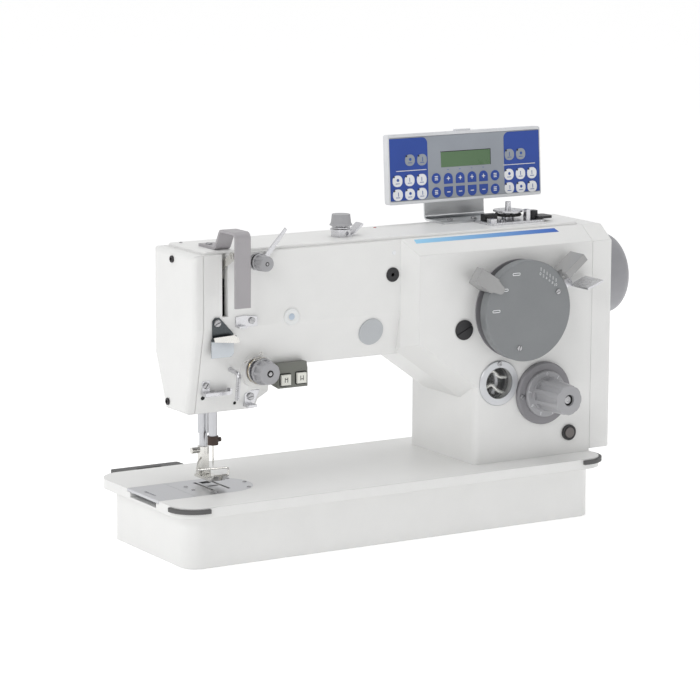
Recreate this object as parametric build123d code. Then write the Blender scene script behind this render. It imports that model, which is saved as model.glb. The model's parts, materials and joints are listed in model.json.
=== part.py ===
from build123d import *
import math
import os

# Flat-bed zigzag sewing machine head with operating panel, in millimetres.
# +X runs along the arm towards the handwheel, -Y faces the operator, +Z is up.
# The origin is the centre of the bed's top surface.

# ---- bed ----
BED_LENGTH = 476.0
BED_WIDTH = 178.0
BED_PLATE = 10.0
BED_DEPTH = 60.0
BED_CORNER = 24.0
SEAT = 1.0
SKIRT_INSET = 11.0
SKIRT_WALL = 7.0

# ---- arm and head ----
ARM_FRONT = -38.0
ARM_REAR = 41.0
ARM_TOP = 224.8
ARM_UNDER = 113.0
WALL = 7.0
HEAD_LEFT = -198.5
FACE_COVER = 10.5
HEAD_BOTTOM = 73.0
HEAD_RIGHT = -125.0
BEND_FRONT = 155.0
BEND_REAR = 124.0
HEAD_LOW_FRONT = -20.0
HEAD_LOW_REAR = 20.0
LID = 2.8

# ---- column ----
COLUMN_LEFT = 100.0
COLUMN_RIGHT = 237.0
COLUMN_OUT = 19.0
SHOULDER_DROP = 14.0
NECK_START = 26.0
NECK_END = 36.0
HAUNCH_LOW = 63.5
END_COVER = 25.0
END_COVER_LOW = 2.5
COLUMN_CORNER = 6.0

# ---- needle area ----
NEEDLE_X = -163.0
NEEDLE_Y = -9.0
PRESSER_Y = 10.0
NEEDLE_BAR_R = 4.0
PRESSER_BAR_R = 5.3
FOOT_LIFT = 6.0
PLATE = 3.0
STRIP_FRONT = -42.0
STRIP_REAR = 22.0
SLIDE_JOIN = -199.0

# ---- drive ----
SHAFT_Y = 1.5
SHAFT_Z = ARM_TOP - 57.1
SHAFT_R = 9.0
LOWER_Y = 30.0
LOWER_Z = -34.0
LOWER_R = 7.0
PULLEY_R = 24.0
LOWER_PULLEY_R = 12.0
PULLEY_X = 206.0
BELT_WIDTH = 12.0
BELT = 2.2
WHEEL_R = 40.8
HOOK_R = 19.0

# ---- controls ----
DISC_X = 148.0
DISC_Z = 151.3
DISC_R = 49.5
DISC_THICK = 10.0
DISC_GAP = 10.6
HUB_R = 16.0
DIAL_X = 179.2
DIAL_Z = 64.6
DIAL_R = 31.0
DIAL_SHAFT_R = 8.9
SIGHT_X = 127.5
SIGHT_Z = 79.0
SIGHT_R = 22.4
BUTTON_X = 211.6
BUTTON_Z = 21.5

# ---- places of the smaller pieces ----
TAKE_UP_X = -165.6
TAKE_UP_Y = -6.0
TAKE_UP_Z = ARM_TOP - 27.3
TAKE_UP_REACH = 53.0
TAKE_UP_ANGLE = 30.0
SLOT_HALF = 3.0
PIVOT_R = 4.0
SWING_X = -155.5
SWING_Z = ARM_TOP - 16.8
PLUG_X = 86.7
PLUG_Z = 134.9
BUSH_X = 17.0
BUSH_Z = ARM_TOP - 33.1
TENSION_X = -127.5
TENSION_Z = 111.5
TENSION_SEAT = -31.5
PRE_X = -132.0
PRE_Z = ARM_TOP - 9.3
POST_R = 3.0
REAR_X0 = 112.0
REAR_X1 = 226.0
REAR_Z0 = 24.0
REAR_Z1 = 150.0
LIFTER_X = -150.0
LIFTER_Z = 150.0
LIFTER_R = 5.0
ARM_BUSH_XS = (-112.0, 60.0, 184.0)
LOWER_BUSH_XS = (-120.0, 184.0)
BUSH_LENGTH = 10.0
BUSH_WALL = 3.0
HOOK_BUSH_Y = 4.0
HOOK_SHAFT_R = 6.0
ATTACH_HOLES = ((-181.5, 88.3, 2.1), (-146.5, 80.0, 1.65))
HINGE_R = 2.5
HINGE_OUT = 7.0
HINGE_Z = -6.0
LUG_WIDTH = 26.0
HINGE_XS = (-174.0, 174.0)
PANEL_WIDTH = 179.0
PANEL_HEIGHT = 68.5
PANEL_DEPTH = 25.4
PANEL_RIM = 9.0
PANEL_INSET = 11.0
PANEL_X = 140.2
PANEL_Y = 22.0
PANEL_Z = 248.7
PANEL_TILT = 4.0
BRACKET = 2.0
BRACKET_TOP = 304.0

# ---- clearances ----
RUN = 0.05
GAP = 0.3
SEAM = 0.8

COLUMN_FRONT = ARM_FRONT - COLUMN_OUT
COLUMN_REAR = ARM_REAR + COLUMN_OUT
CASTING_LEFT = HEAD_LEFT + FACE_COVER
LID_TOP = ARM_TOP + LID
COVER_RIGHT = COLUMN_RIGHT + END_COVER
DISC_BACK = COLUMN_FRONT - DISC_GAP
DISC_FRONT = DISC_BACK - DISC_THICK
STRIP_R = (STRIP_REAR - STRIP_FRONT) / 2
STRIP_Y = (STRIP_REAR + STRIP_FRONT) / 2
PLATE_RIGHT = NEEDLE_X + 6 + STRIP_R


# ---- helpers ----
def block(x0, x1, y0, y1, z0, z1):
    return Pos((x0 + x1) / 2, (y0 + y1) / 2, (z0 + z1) / 2) * Box(x1 - x0, y1 - y0, z1 - z0)


def rod_x(y, z, r, x0, x1):
    return Pos((x0 + x1) / 2, y, z) * Rot(0, 90, 0) * Cylinder(r, x1 - x0)


def rod_y(x, z, r, y0, y1):
    return Pos(x, (y0 + y1) / 2, z) * Rot(90, 0, 0) * Cylinder(r, y1 - y0)


def rod_z(x, y, r, z0, z1):
    return Pos(x, y, (z0 + z1) / 2) * Cylinder(r, z1 - z0)


def cone_y(x, z, r_front, r_back, y0, y1):
    return Pos(x, (y0 + y1) / 2, z) * Rot(90, 0, 0) * Cone(r_back, r_front, y1 - y0)


def prism_yz(points, x0, x1):
    face = Plane.YZ.offset(x0) * Polygon(*points, align=None)
    return extrude(face, amount=x1 - x0, dir=(1, 0, 0))


def prism_xz(points, y0, y1):
    face = Plane.XZ.offset(-y0) * Polygon(*points, align=None)
    return extrude(face, amount=y1 - y0, dir=(0, 1, 0))


def prism_xy(points, z0, z1):
    face = Plane.XY.offset(z0) * Polygon(*points, align=None)
    return extrude(face, amount=z1 - z0, dir=(0, 0, 1))


def rounded_plate(x0, x1, y0, y1, z0, z1, r):
    face = Pos((x0 + x1) / 2, (y0 + y1) / 2, z0) * RectangleRounded(x1 - x0, y1 - y0, r)
    return extrude(face, amount=z1 - z0, dir=(0, 0, 1))


def wire_rod(points, r, bend):
    path = FilletPolyline(*points, radius=bend)
    section = Plane(path @ 0, z_dir=path % 0) * Circle(r)
    return sweep(section, path=path)


def strip(points, bend, thickness):
    return trace(FilletPolyline(*points, radius=bend), thickness)


def head_section(inset):
    """Head and arm cross-section, drawn in Y and Z, with an equal inset all round."""
    front = ARM_FRONT + inset
    rear = ARM_REAR - inset
    low = HEAD_BOTTOM + inset
    return [(front, ARM_TOP - inset), (front, BEND_FRONT), (HEAD_LOW_FRONT + inset, low),
            (HEAD_LOW_REAR - inset, low), (rear, BEND_REAR), (rear, ARM_TOP - inset)]


def slope_y(z):
    """Y of the head's slanted lower front face at height z."""
    run = (BEND_FRONT - z) / (BEND_FRONT - HEAD_BOTTOM)
    return ARM_FRONT + (HEAD_LOW_FRONT - ARM_FRONT) * run


def screw_y(x, z, r, y, depth=5.0, head=1.6):
    return rod_y(x, z, r, y - head, y) + rod_y(x, z, r * 0.5, y, y + depth)


def screw_z(x, y, r, z, depth=5.0, head=1.6):
    return rod_z(x, y, r, z, z + head) + rod_z(x, y, r * 0.5, z - depth, z)


def screw_left(y, z, r, x, depth=5.0, head=1.6):
    return rod_x(y, z, r, x - head, x) + rod_x(y, z, r * 0.5, x, x + depth)


def screw_right(y, z, r, x, depth=5.0, head=1.6):
    return rod_x(y, z, r, x, x + head) + rod_x(y, z, r * 0.5, x - depth, x)


parts = {}


# ---- bed casting ----
HALF_L = BED_LENGTH / 2
HALF_W = BED_WIDTH / 2
SKIRT_X = HALF_L - SKIRT_INSET
SKIRT_Y = HALF_W - SKIRT_INSET
HINGE_Y = HALF_W + HINGE_OUT
HOOK_Z = LOWER_Z


def column_foot():
    """Outline of the column where it sits in its seat on the bed."""
    foot = block(COLUMN_LEFT, COLUMN_RIGHT, COLUMN_FRONT, COLUMN_REAR, -SEAT, 0)
    return fillet(foot.edges().filter_by(Axis.Z).sort_by(Axis.X)[:2], COLUMN_CORNER)


def bed_casting():
    plate = rounded_plate(-HALF_L, HALF_L, -HALF_W, HALF_W, -BED_PLATE, 0, BED_CORNER)
    skirt = rounded_plate(-SKIRT_X, SKIRT_X, -SKIRT_Y, SKIRT_Y, -BED_DEPTH, -BED_PLATE, BED_CORNER - 8)
    inner = rounded_plate(-SKIRT_X + SKIRT_WALL, SKIRT_X - SKIRT_WALL, -SKIRT_Y + SKIRT_WALL,
                          SKIRT_Y - SKIRT_WALL, -BED_DEPTH, -BED_PLATE, BED_CORNER - 8 - SKIRT_WALL)
    body = plate + (skirt - inner)
    recess = block(-HALF_L - 1, PLATE_RIGHT - STRIP_R, STRIP_FRONT, STRIP_REAR, -PLATE, 1)
    recess += rod_z(PLATE_RIGHT - STRIP_R, STRIP_Y, STRIP_R, -PLATE, 1)
    body -= recess + column_foot()
    body -= block(-HALF_L + 14, PLATE_RIGHT - 12, STRIP_FRONT + 6, STRIP_REAR - 6, -BED_PLATE - 1, 0)
    body -= block(-HALF_L - 1, -HALF_L + 15, STRIP_FRONT + 6, STRIP_REAR - 6, -7.5, 0)
    body -= block(COLUMN_LEFT + 12, COLUMN_RIGHT - 18, COLUMN_FRONT + 12, COLUMN_REAR - 12, -BED_PLATE - 1, 1)
    for x in HINGE_XS:
        lug = block(x - LUG_WIDTH / 2, x + LUG_WIDTH / 2, HALF_W - 2, HINGE_Y, -BED_PLATE, -2)
        lug += rod_x(HINGE_Y, HINGE_Z, 4, x - LUG_WIDTH / 2, x + LUG_WIDTH / 2)
        body += lug
        body -= rod_x(HINGE_Y, HINGE_Z, HINGE_R + RUN, x - LUG_WIDTH, x + LUG_WIDTH)
    # bearing walls for the lower shaft, hung from the bed plate
    for x in LOWER_BUSH_XS:
        rib = block(x - 5, x + 5, LOWER_Y - 16, SKIRT_Y - SKIRT_WALL + 1, LOWER_Z - 14, -BED_PLATE + 1)
        body += rib - rod_x(LOWER_Y, LOWER_Z, LOWER_R + BUSH_WALL, x - 6, x + 6)
    x0 = NEEDLE_X - 14
    x1 = NEEDLE_X + 14
    y0 = HOOK_BUSH_Y - 4
    y1 = STRIP_REAR + 2
    hook_rib = block(x0, x1, y0, HOOK_BUSH_Y + 4, HOOK_Z - 14, -BED_PLATE - 5)
    hook_rib += block(x0, x1, y0, y1, -BED_PLATE - 5, -BED_PLATE - 2)
    hook_rib += block(x0, x1, STRIP_REAR - 5.5, y1, -BED_PLATE - 2, -BED_PLATE + 1)
    body += hook_rib - rod_y(NEEDLE_X, HOOK_Z, HOOK_SHAFT_R + BUSH_WALL, HOOK_BUSH_Y - 5, HOOK_BUSH_Y + 5)
    return body


parts["bed_casting"] = bed_casting()


# ---- arm and column casting ----
def haunch_z(x, inner):
    """Height of the sloping underside between arm and column; inner is the edge nearer the middle."""
    low_x = COLUMN_LEFT - 1
    rise = (ARM_UNDER - HAUNCH_LOW) / (low_x - NECK_START - 4)
    base = HAUNCH_LOW + (low_x - x) * rise
    return base if inner else base + 16.0


def casting_outside():
    arm = prism_yz(head_section(0), CASTING_LEFT, NECK_START + 6)
    arm -= block(HEAD_RIGHT + 13, 60, -80, 80, 0, ARM_UNDER)
    arm -= prism_xz([(HEAD_RIGHT, 60), (HEAD_RIGHT, HEAD_BOTTOM), (HEAD_RIGHT + 3, HEAD_BOTTOM + 9),
                     (HEAD_RIGHT + 8, HEAD_BOTTOM + 12), (HEAD_RIGHT + 14, ARM_UNDER - 24),
                     (HEAD_RIGHT + 14, 60)], -80, 80)
    plan = [(NECK_START, ARM_FRONT), (NECK_END, COLUMN_FRONT), (COLUMN_RIGHT, COLUMN_FRONT),
            (COLUMN_RIGHT, COLUMN_REAR), (NECK_END, COLUMN_REAR), (NECK_START, ARM_REAR)]
    column = prism_xy(plan, 0, ARM_TOP)
    under = [(0, -1), (COLUMN_LEFT, -1), (COLUMN_LEFT, HAUNCH_LOW),
             (COLUMN_LEFT - 1, haunch_z(COLUMN_LEFT - 1, True)),
             (NECK_START + 4, ARM_UNDER), (0, ARM_UNDER)]
    column -= prism_xz(under, -80, 80)
    for sign, edge, inner in ((-1, COLUMN_FRONT, ARM_FRONT + 8), (1, COLUMN_REAR, ARM_REAR - 8)):
        out = edge + sign
        x0 = NECK_START
        tri = [(out, haunch_z(x0, False) + 16.0 / (COLUMN_OUT + 8)), (inner, haunch_z(x0, True)),
               (inner, haunch_z(x0, True) - 40), (out, haunch_z(x0, True) - 40)]
        face = Plane.YZ.offset(x0) * Polygon(*tri, align=None)
        fall = haunch_z(x0, True) - haunch_z(x0 + 100, True)
        along = Vector(100, 0, -fall)
        column -= extrude(face, amount=along.length * (COLUMN_LEFT - x0) / 100, dir=along.normalized())
    for sign, edge, inner in ((-1, COLUMN_FRONT, ARM_FRONT), (1, COLUMN_REAR, ARM_REAR)):
        wedge = [(inner, ARM_TOP), (edge, ARM_TOP - SHOULDER_DROP), (edge + sign, ARM_TOP - SHOULDER_DROP),
                 (edge + sign, ARM_TOP + 1), (inner, ARM_TOP + 1)]
        column -= prism_yz(wedge, 0, COLUMN_RIGHT + 1)
    return round_edges(arm + column) + column_foot()


def round_edges(body):
    """Rounds the long cast edges of the arm and column."""
    def near(edge, x, y, z):
        c = edge.center()
        return all(low <= v <= high for v, (low, high) in zip((c.X, c.Y, c.Z), (x, y, z)))

    wide = (-300, 300)
    arm_edges = [e for e in body.edges().filter_by(Axis.X)
                 if near(e, (-110, 20), (ARM_FRONT - 1, ARM_REAR + 1), (ARM_UNDER - 1, ARM_UNDER + 1))]
    column_edges = [e for e in body.edges().filter_by(Axis.Z)
                    if near(e, (COLUMN_LEFT - 1, COLUMN_LEFT + 1), wide, (10, HAUNCH_LOW))]
    for edges, r in ((arm_edges, 3), (column_edges, COLUMN_CORNER)):
        body = fillet(edges, r)
    return body


def arm_casting():
    body = casting_outside()
    # head and arm hollow, open to the left under the face cover
    arm_hollow = prism_yz(head_section(WALL), CASTING_LEFT - 1, COLUMN_RIGHT - 30)
    arm_hollow -= block(HEAD_RIGHT - WALL, COLUMN_RIGHT, -80, 80, 0, ARM_UNDER + WALL)
    body -= arm_hollow
    # column hollow, open below and to the right
    column_hollow = block(COLUMN_LEFT + WALL, COLUMN_RIGHT + 1, COLUMN_FRONT + WALL, COLUMN_REAR - WALL,
                          -SEAT - 1, ARM_TOP - SHOULDER_DROP - WALL)
    body -= column_hollow
    # lid opening along the top
    body -= block(-150, COLUMN_RIGHT - 14, ARM_FRONT + 14, ARM_REAR - 14, ARM_TOP - WALL - 20, ARM_TOP + 1)
    # floor of the head: passages for both bars
    body -= rod_z(NEEDLE_X, PRESSER_Y, PRESSER_BAR_R + BUSH_WALL, HEAD_BOTTOM - 1, HEAD_BOTTOM + 30)
    body -= block(NEEDLE_X - 13, NEEDLE_X + 13, HEAD_LOW_FRONT + 4, NEEDLE_Y + 8, HEAD_BOTTOM - 1,
                  HEAD_BOTTOM + WALL + 14)
    # take-up lever slot
    body -= block(TAKE_UP_X - SLOT_HALF, TAKE_UP_X + SLOT_HALF, ARM_FRONT - 1, ARM_FRONT + WALL + 1,
                  166, ARM_TOP + 1)
    # round openings in the column face
    body -= rod_y(DISC_X, DISC_Z, HUB_R - 6, COLUMN_FRONT - 1, COLUMN_FRONT + WALL + 1)
    body -= rod_y(SIGHT_X, SIGHT_Z, SIGHT_R - 6, COLUMN_FRONT - 1, COLUMN_FRONT + WALL + 1)
    body -= rod_y(DIAL_X, DIAL_Z, DIAL_SHAFT_R + 0.4, COLUMN_FRONT - 1, COLUMN_FRONT + WALL + 1)
    body -= rod_y(BUTTON_X, BUTTON_Z, 6.5, COLUMN_FRONT - 1, COLUMN_FRONT + WALL + 1)
    body -= rod_y(PLUG_X, PLUG_Z, 8, COLUMN_FRONT - 1, COLUMN_FRONT + WALL + 1)
    body -= rod_y(BUSH_X, BUSH_Z, 5.5, ARM_FRONT - 1, ARM_FRONT + WALL + 1)
    # rear service opening
    body -= block(REAR_X0 + 12, REAR_X1 - 12, COLUMN_REAR - WALL - 1, COLUMN_REAR + 1,
                  REAR_Z0 + 12, REAR_Z1 - 12)
    # lifter shaft hole through the rear wall
    body -= rod_y(LIFTER_X, LIFTER_Z, LIFTER_R + RUN, ARM_REAR - WALL - 6, ARM_REAR + 1)
    # bearing webs for the arm shaft
    for x in ARM_BUSH_XS:
        web = block(x - 5, x + 5, ARM_FRONT + 3, ARM_REAR - 3, SHAFT_Z - 20, SHAFT_Z + 20)
        if x > NECK_END:
            web = block(x - 5, x + 5, COLUMN_FRONT + 3, COLUMN_REAR - 3, SHAFT_Z - 20, SHAFT_Z + 20)
        body += web
    body -= rod_x(SHAFT_Y, SHAFT_Z, SHAFT_R + BUSH_WALL, CASTING_LEFT, COLUMN_RIGHT)
    # bosses inside the head for the take-up pin and the needle frame pin
    body += block(-184, TAKE_UP_X - 4, ARM_FRONT + WALL - 1, TAKE_UP_Y + 8, TAKE_UP_Z - 8, TAKE_UP_Z + 8)
    body -= rod_x(TAKE_UP_Y, TAKE_UP_Z, PIVOT_R + RUN, -190, TAKE_UP_X)
    body += block(SWING_X - 6, SWING_X + 6, ARM_FRONT + WALL - 1, NEEDLE_Y - 5, SWING_Z - 8, SWING_Z + 8)
    body -= rod_y(SWING_X, SWING_Z, PIVOT_R + RUN, ARM_FRONT + WALL, 0)
    # raised boss that carries the main tension, and holes for both tension posts
    body += rod_y(TENSION_X, TENSION_Z, 17, TENSION_SEAT, slope_y(TENSION_Z - 17) + 2)
    body -= rod_y(TENSION_X, TENSION_Z, POST_R, TENSION_SEAT - 1, TENSION_SEAT + 8)
    body -= rod_y(PRE_X, PRE_Z, POST_R, ARM_FRONT - 1, ARM_FRONT + 5)
    # threaded attachment holes in the head's slanted front
    for x, z, r in ATTACH_HOLES:
        body -= rod_y(x, z, r, ARM_FRONT - 1, slope_y(z) + WALL + 4)
    return body


parts["arm_casting"] = arm_casting()


# ---- covers ----
def column_section(inset, bottom):
    """Column cross-section in Y and Z with its two top bevels."""
    front = COLUMN_FRONT + inset
    rear = COLUMN_REAR - inset
    shoulder = ARM_TOP - SHOULDER_DROP - inset / 2
    return [(front, bottom), (front, shoulder), (ARM_FRONT + inset / 2, ARM_TOP - inset),
            (ARM_REAR - inset / 2, ARM_TOP - inset), (rear, shoulder), (rear, bottom)]


def face_cover():
    body = prism_yz(head_section(0), HEAD_LEFT, CASTING_LEFT)
    body = fillet(body.faces().sort_by(Axis.X)[0].edges(), 4.5)
    body = chamfer(body.faces().sort_by(Axis.X)[-1].edges(), SEAM)
    return body - prism_yz(head_section(5), HEAD_LEFT + 3.5, CASTING_LEFT + 1)


def top_lid():
    plate = rounded_plate(CASTING_LEFT + 2, COLUMN_RIGHT - 1, ARM_FRONT + 4, ARM_REAR - 4,
                          ARM_TOP, LID_TOP, 4)
    return fillet(plate.faces().sort_by(Axis.Z)[-1].edges(), 1.2)


def end_cover():
    body = prism_yz(column_section(0, END_COVER_LOW), COLUMN_RIGHT, COVER_RIGHT)
    body = fillet(body.faces().sort_by(Axis.X)[-1].edges(), 4)
    body = chamfer(body.faces().sort_by(Axis.X)[0].edges(), SEAM)
    body -= prism_yz(column_section(5, 5), COLUMN_RIGHT - 1, COVER_RIGHT - 5)
    return body - rod_x(SHAFT_Y, SHAFT_Z, SHAFT_R + 4, COLUMN_RIGHT, COVER_RIGHT + 1)


def rear_cover():
    face = Plane.XZ.offset(-COLUMN_REAR) * Pos((REAR_X0 + REAR_X1) / 2, (REAR_Z0 + REAR_Z1) / 2)
    face *= RectangleRounded(REAR_X1 - REAR_X0, REAR_Z1 - REAR_Z0, 6)
    return extrude(face, amount=2.5, dir=(0, 1, 0))


parts["face_cover"] = face_cover()
parts["top_lid"] = top_lid()
parts["end_cover"] = end_cover()
parts["rear_cover"] = rear_cover()


# ---- bed fittings ----
FEED_XS = (NEEDLE_X - 9.5, NEEDLE_X + 7.5)
FEED_SLOT_Y = (-27.0, 11.0)
FEED_SLOT = 3.4
ZIGZAG = 9.8


def needle_plate():
    plate = block(SLIDE_JOIN, PLATE_RIGHT - STRIP_R, STRIP_FRONT, STRIP_REAR, -PLATE, 0)
    plate += rod_z(PLATE_RIGHT - STRIP_R, STRIP_Y, STRIP_R, -PLATE, 0)
    for x in FEED_XS:
        plate -= block(x - FEED_SLOT / 2, x + FEED_SLOT / 2, *FEED_SLOT_Y, -PLATE - 1, 1)
    plate -= block(NEEDLE_X - 5, NEEDLE_X + 5, 3, 11, -PLATE - 1, 1)
    plate -= block(NEEDLE_X - ZIGZAG / 2 - 1, NEEDLE_X + ZIGZAG / 2 + 1, NEEDLE_Y - 1.8, NEEDLE_Y + 1.8,
                   -PLATE - 1, 1)
    return plate


def slide_plate():
    plate = block(-HALF_L, SLIDE_JOIN - GAP, STRIP_FRONT + GAP, STRIP_REAR - GAP, -PLATE + GAP, 0)
    return plate - block(-HALF_L + 6, -HALF_L + 9, STRIP_Y - 10, STRIP_Y + 10, -0.6, 1)


def feed_dog():
    body = Part()
    for x in FEED_XS:
        bar = block(x - 1.2, x + 1.2, -23, 7, -7, -0.6)
        for i in range(14):
            bar -= block(x - 2, x + 2, -22 + 2.1 * i, -21 + 2.1 * i, -1.4, 0)
        body += bar
    body += block(FEED_XS[0] - 1.2, FEED_XS[1] + 1.2, -20, 4, -10, -7)
    body -= block(NEEDLE_X - 7, NEEDLE_X + 6, NEEDLE_Y - 6.5, NEEDLE_Y + 6.5, -11, -6)
    body += block(FEED_XS[1], NEEDLE_X + 24, -6, 2, -10, -7)
    body += block(NEEDLE_X + 19, NEEDLE_X + 24, -6, 2, -15, -7)
    body += block(NEEDLE_X + 19, NEEDLE_X + 34, -6, 2, -15, -12)
    return body


def corner_pads():
    outer = rounded_plate(-HALF_L - 3, HALF_L + 3, -HALF_W - 3, HALF_W + 3, -5, -1, BED_CORNER + 3)
    ring = outer - rounded_plate(-HALF_L, HALF_L, -HALF_W, HALF_W, -9, 0, BED_CORNER)
    left = ring & block(-HALF_L - 4, -HALF_L + 28, -HALF_W - 4, -HALF_W + 24, -9, 0)
    right = ring & block(HALF_L - 30, HALF_L + 4, -HALF_W - 4, -HALF_W + 30, -9, 0)
    return left + right


def hinge_sockets():
    body = Part()
    for x in HINGE_XS:
        bracket = rounded_plate(x - 37, x + 37, HINGE_Y - 4, HINGE_Y + 15, -11, -2, 3)
        bracket -= block(x - LUG_WIDTH / 2 - 0.6, x + LUG_WIDTH / 2 + 0.6, HINGE_Y - 6, HINGE_Y + 5.5, -12, 0)
        body += bracket + rod_x(HINGE_Y, HINGE_Z, HINGE_R, x - LUG_WIDTH / 2 - 2, x + LUG_WIDTH / 2 + 2)
    return body


parts["needle_plate"] = needle_plate()
parts["slide_plate"] = slide_plate()
parts["feed_dog"] = feed_dog()
parts["bed_pads"] = corner_pads()
parts["hinge_sockets"] = hinge_sockets()


# ---- drive line ----
ROTOR_X = (120.0, 168.0)
ROTOR_R = 21.0
STATOR_R = 33.0
BEVEL_R = 16.0
BEVEL_TIP = 6.0
SHAFT_END = COVER_RIGHT + 28.0
WHEEL_LEFT = COVER_RIGHT + 6.0
WHEEL_RIGHT = COVER_RIGHT + 39.0
CRANK_X = (-152.0, -142.0)
CRANK_THROW = 15.5


def arm_shaft():
    shaft = rod_x(SHAFT_Y, SHAFT_Z, SHAFT_R, CRANK_X[1], SHAFT_END)
    return shaft + rod_x(SHAFT_Y, SHAFT_Z, ROTOR_R, *ROTOR_X)


def needle_crank():
    disc = rod_x(SHAFT_Y, SHAFT_Z, 21, CRANK_X[1], CRANK_X[1] + 12)
    disc -= block(CRANK_X[1] - 1, CRANK_X[1] + 13, SHAFT_Y - 30, SHAFT_Y + 30, SHAFT_Z + 8, SHAFT_Z + 30)
    disc += block(CRANK_X[1], CRANK_X[1] + 12, SHAFT_Y - 6, SHAFT_Y + 6, SHAFT_Z, SHAFT_Z + CRANK_THROW + 5)
    disc += rod_x(SHAFT_Y, SHAFT_Z + CRANK_THROW, 3.5, CRANK_X[0], CRANK_X[1])
    return disc - rod_x(SHAFT_Y, SHAFT_Z, SHAFT_R, CRANK_X[0] - 1, CRANK_X[1] + 13)


def motor_stator():
    body = rod_x(SHAFT_Y, SHAFT_Z, STATOR_R, ROTOR_X[0] + 2, ROTOR_X[1] - 2)
    body += block(136, 152, COLUMN_FRONT + WALL, COLUMN_REAR - WALL, SHAFT_Z - 8, SHAFT_Z + 8)
    return body - rod_x(SHAFT_Y, SHAFT_Z, ROTOR_R + 0.8, ROTOR_X[0], ROTOR_X[1])


def pulley(y, z, r, bore):
    body = rod_x(y, z, r, PULLEY_X - BELT_WIDTH / 2, PULLEY_X + BELT_WIDTH / 2)
    return body - rod_x(y, z, bore, PULLEY_X - BELT_WIDTH, PULLEY_X + BELT_WIDTH)


def belt_face(extra):
    """Outline of the belt round both pulleys, grown by extra."""
    upper = Pos(SHAFT_Y, SHAFT_Z) * Circle(PULLEY_R + extra)
    lower = Pos(LOWER_Y, LOWER_Z) * Circle(LOWER_PULLEY_R + extra)
    return Plane.YZ.offset(PULLEY_X - BELT_WIDTH / 2) * make_hull(upper.edges() + lower.edges())


def timing_belt():
    outer = extrude(belt_face(GAP + BELT), amount=BELT_WIDTH, dir=(1, 0, 0))
    return outer - extrude(belt_face(GAP), amount=BELT_WIDTH, dir=(1, 0, 0))


def handwheel():
    rim = rod_x(SHAFT_Y, SHAFT_Z, WHEEL_R, WHEEL_LEFT, WHEEL_RIGHT)
    rim = fillet(rim.edges().sort_by(Axis.X)[-1], 12)
    rim = fillet(rim.edges().sort_by(Axis.X)[0], 5)
    rim -= rod_x(SHAFT_Y, SHAFT_Z, WHEEL_R - 9, WHEEL_LEFT - 1, WHEEL_LEFT + 16)
    rim += rod_x(SHAFT_Y, SHAFT_Z, 18, COVER_RIGHT + 1, WHEEL_LEFT + 17)
    return rim - rod_x(SHAFT_Y, SHAFT_Z, SHAFT_R, COVER_RIGHT, SHAFT_END)


def bevel_x():
    body = Pos(NEEDLE_X + (BEVEL_TIP + BEVEL_R) / 2, LOWER_Y, LOWER_Z) * Rot(0, 90, 0)
    body *= Cone(BEVEL_TIP - 0.6, BEVEL_R - 0.6, BEVEL_R - BEVEL_TIP)
    return body


def bevel_y():
    body = Pos(NEEDLE_X, LOWER_Y - (BEVEL_TIP + BEVEL_R) / 2, LOWER_Z) * Rot(90, 0, 0)
    return body * Cone(BEVEL_TIP - 0.6, BEVEL_R - 0.6, BEVEL_R - BEVEL_TIP)


def lower_shaft():
    return rod_x(LOWER_Y, LOWER_Z, LOWER_R, NEEDLE_X + BEVEL_R - 1, PULLEY_X + 8) + bevel_x()


def hook_shaft():
    return rod_y(NEEDLE_X, HOOK_Z, HOOK_SHAFT_R, NEEDLE_Y - 1.8, LOWER_Y - BEVEL_R + 1) + bevel_y()


def rotary_hook():
    cup = rod_y(NEEDLE_X, HOOK_Z, HOOK_R, NEEDLE_Y - 17, NEEDLE_Y - 1.8)
    cup -= rod_y(NEEDLE_X, HOOK_Z, HOOK_R - 3.5, NEEDLE_Y - 18, NEEDLE_Y - 4.5)
    cup -= block(NEEDLE_X, NEEDLE_X + 9, NEEDLE_Y - 18, NEEDLE_Y - 7, HOOK_Z, HOOK_Z + HOOK_R + 1)
    hub = rod_y(NEEDLE_X, HOOK_Z, HOOK_SHAFT_R + 3, NEEDLE_Y - 1.8, HOOK_BUSH_Y - 5 - GAP)
    return cup + (hub - rod_y(NEEDLE_X, HOOK_Z, HOOK_SHAFT_R, NEEDLE_Y - 1.8, HOOK_BUSH_Y))


def bush_x(y, z, r, x):
    ring = rod_x(y, z, r + BUSH_WALL - 0.02, x - BUSH_LENGTH / 2, x + BUSH_LENGTH / 2)
    return ring - rod_x(y, z, r + RUN, x - BUSH_LENGTH, x + BUSH_LENGTH)


def shaft_bushes():
    rings = [bush_x(SHAFT_Y, SHAFT_Z, SHAFT_R, x) for x in ARM_BUSH_XS]
    rings += [bush_x(LOWER_Y, LOWER_Z, LOWER_R, x) for x in LOWER_BUSH_XS]
    hook = rod_y(NEEDLE_X, HOOK_Z, HOOK_SHAFT_R + BUSH_WALL - 0.02, HOOK_BUSH_Y - 4, HOOK_BUSH_Y + 4)
    rings.append(hook - rod_y(NEEDLE_X, HOOK_Z, HOOK_SHAFT_R + RUN, HOOK_BUSH_Y - 5, HOOK_BUSH_Y + 5))
    presser = rod_z(NEEDLE_X, PRESSER_Y, PRESSER_BAR_R + BUSH_WALL - 0.02,
                    HEAD_BOTTOM - 3, HEAD_BOTTOM + WALL + 4)
    rings.append(presser - rod_z(NEEDLE_X, PRESSER_Y, PRESSER_BAR_R + RUN, 0, ARM_TOP))
    return Compound(children=rings)


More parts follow.
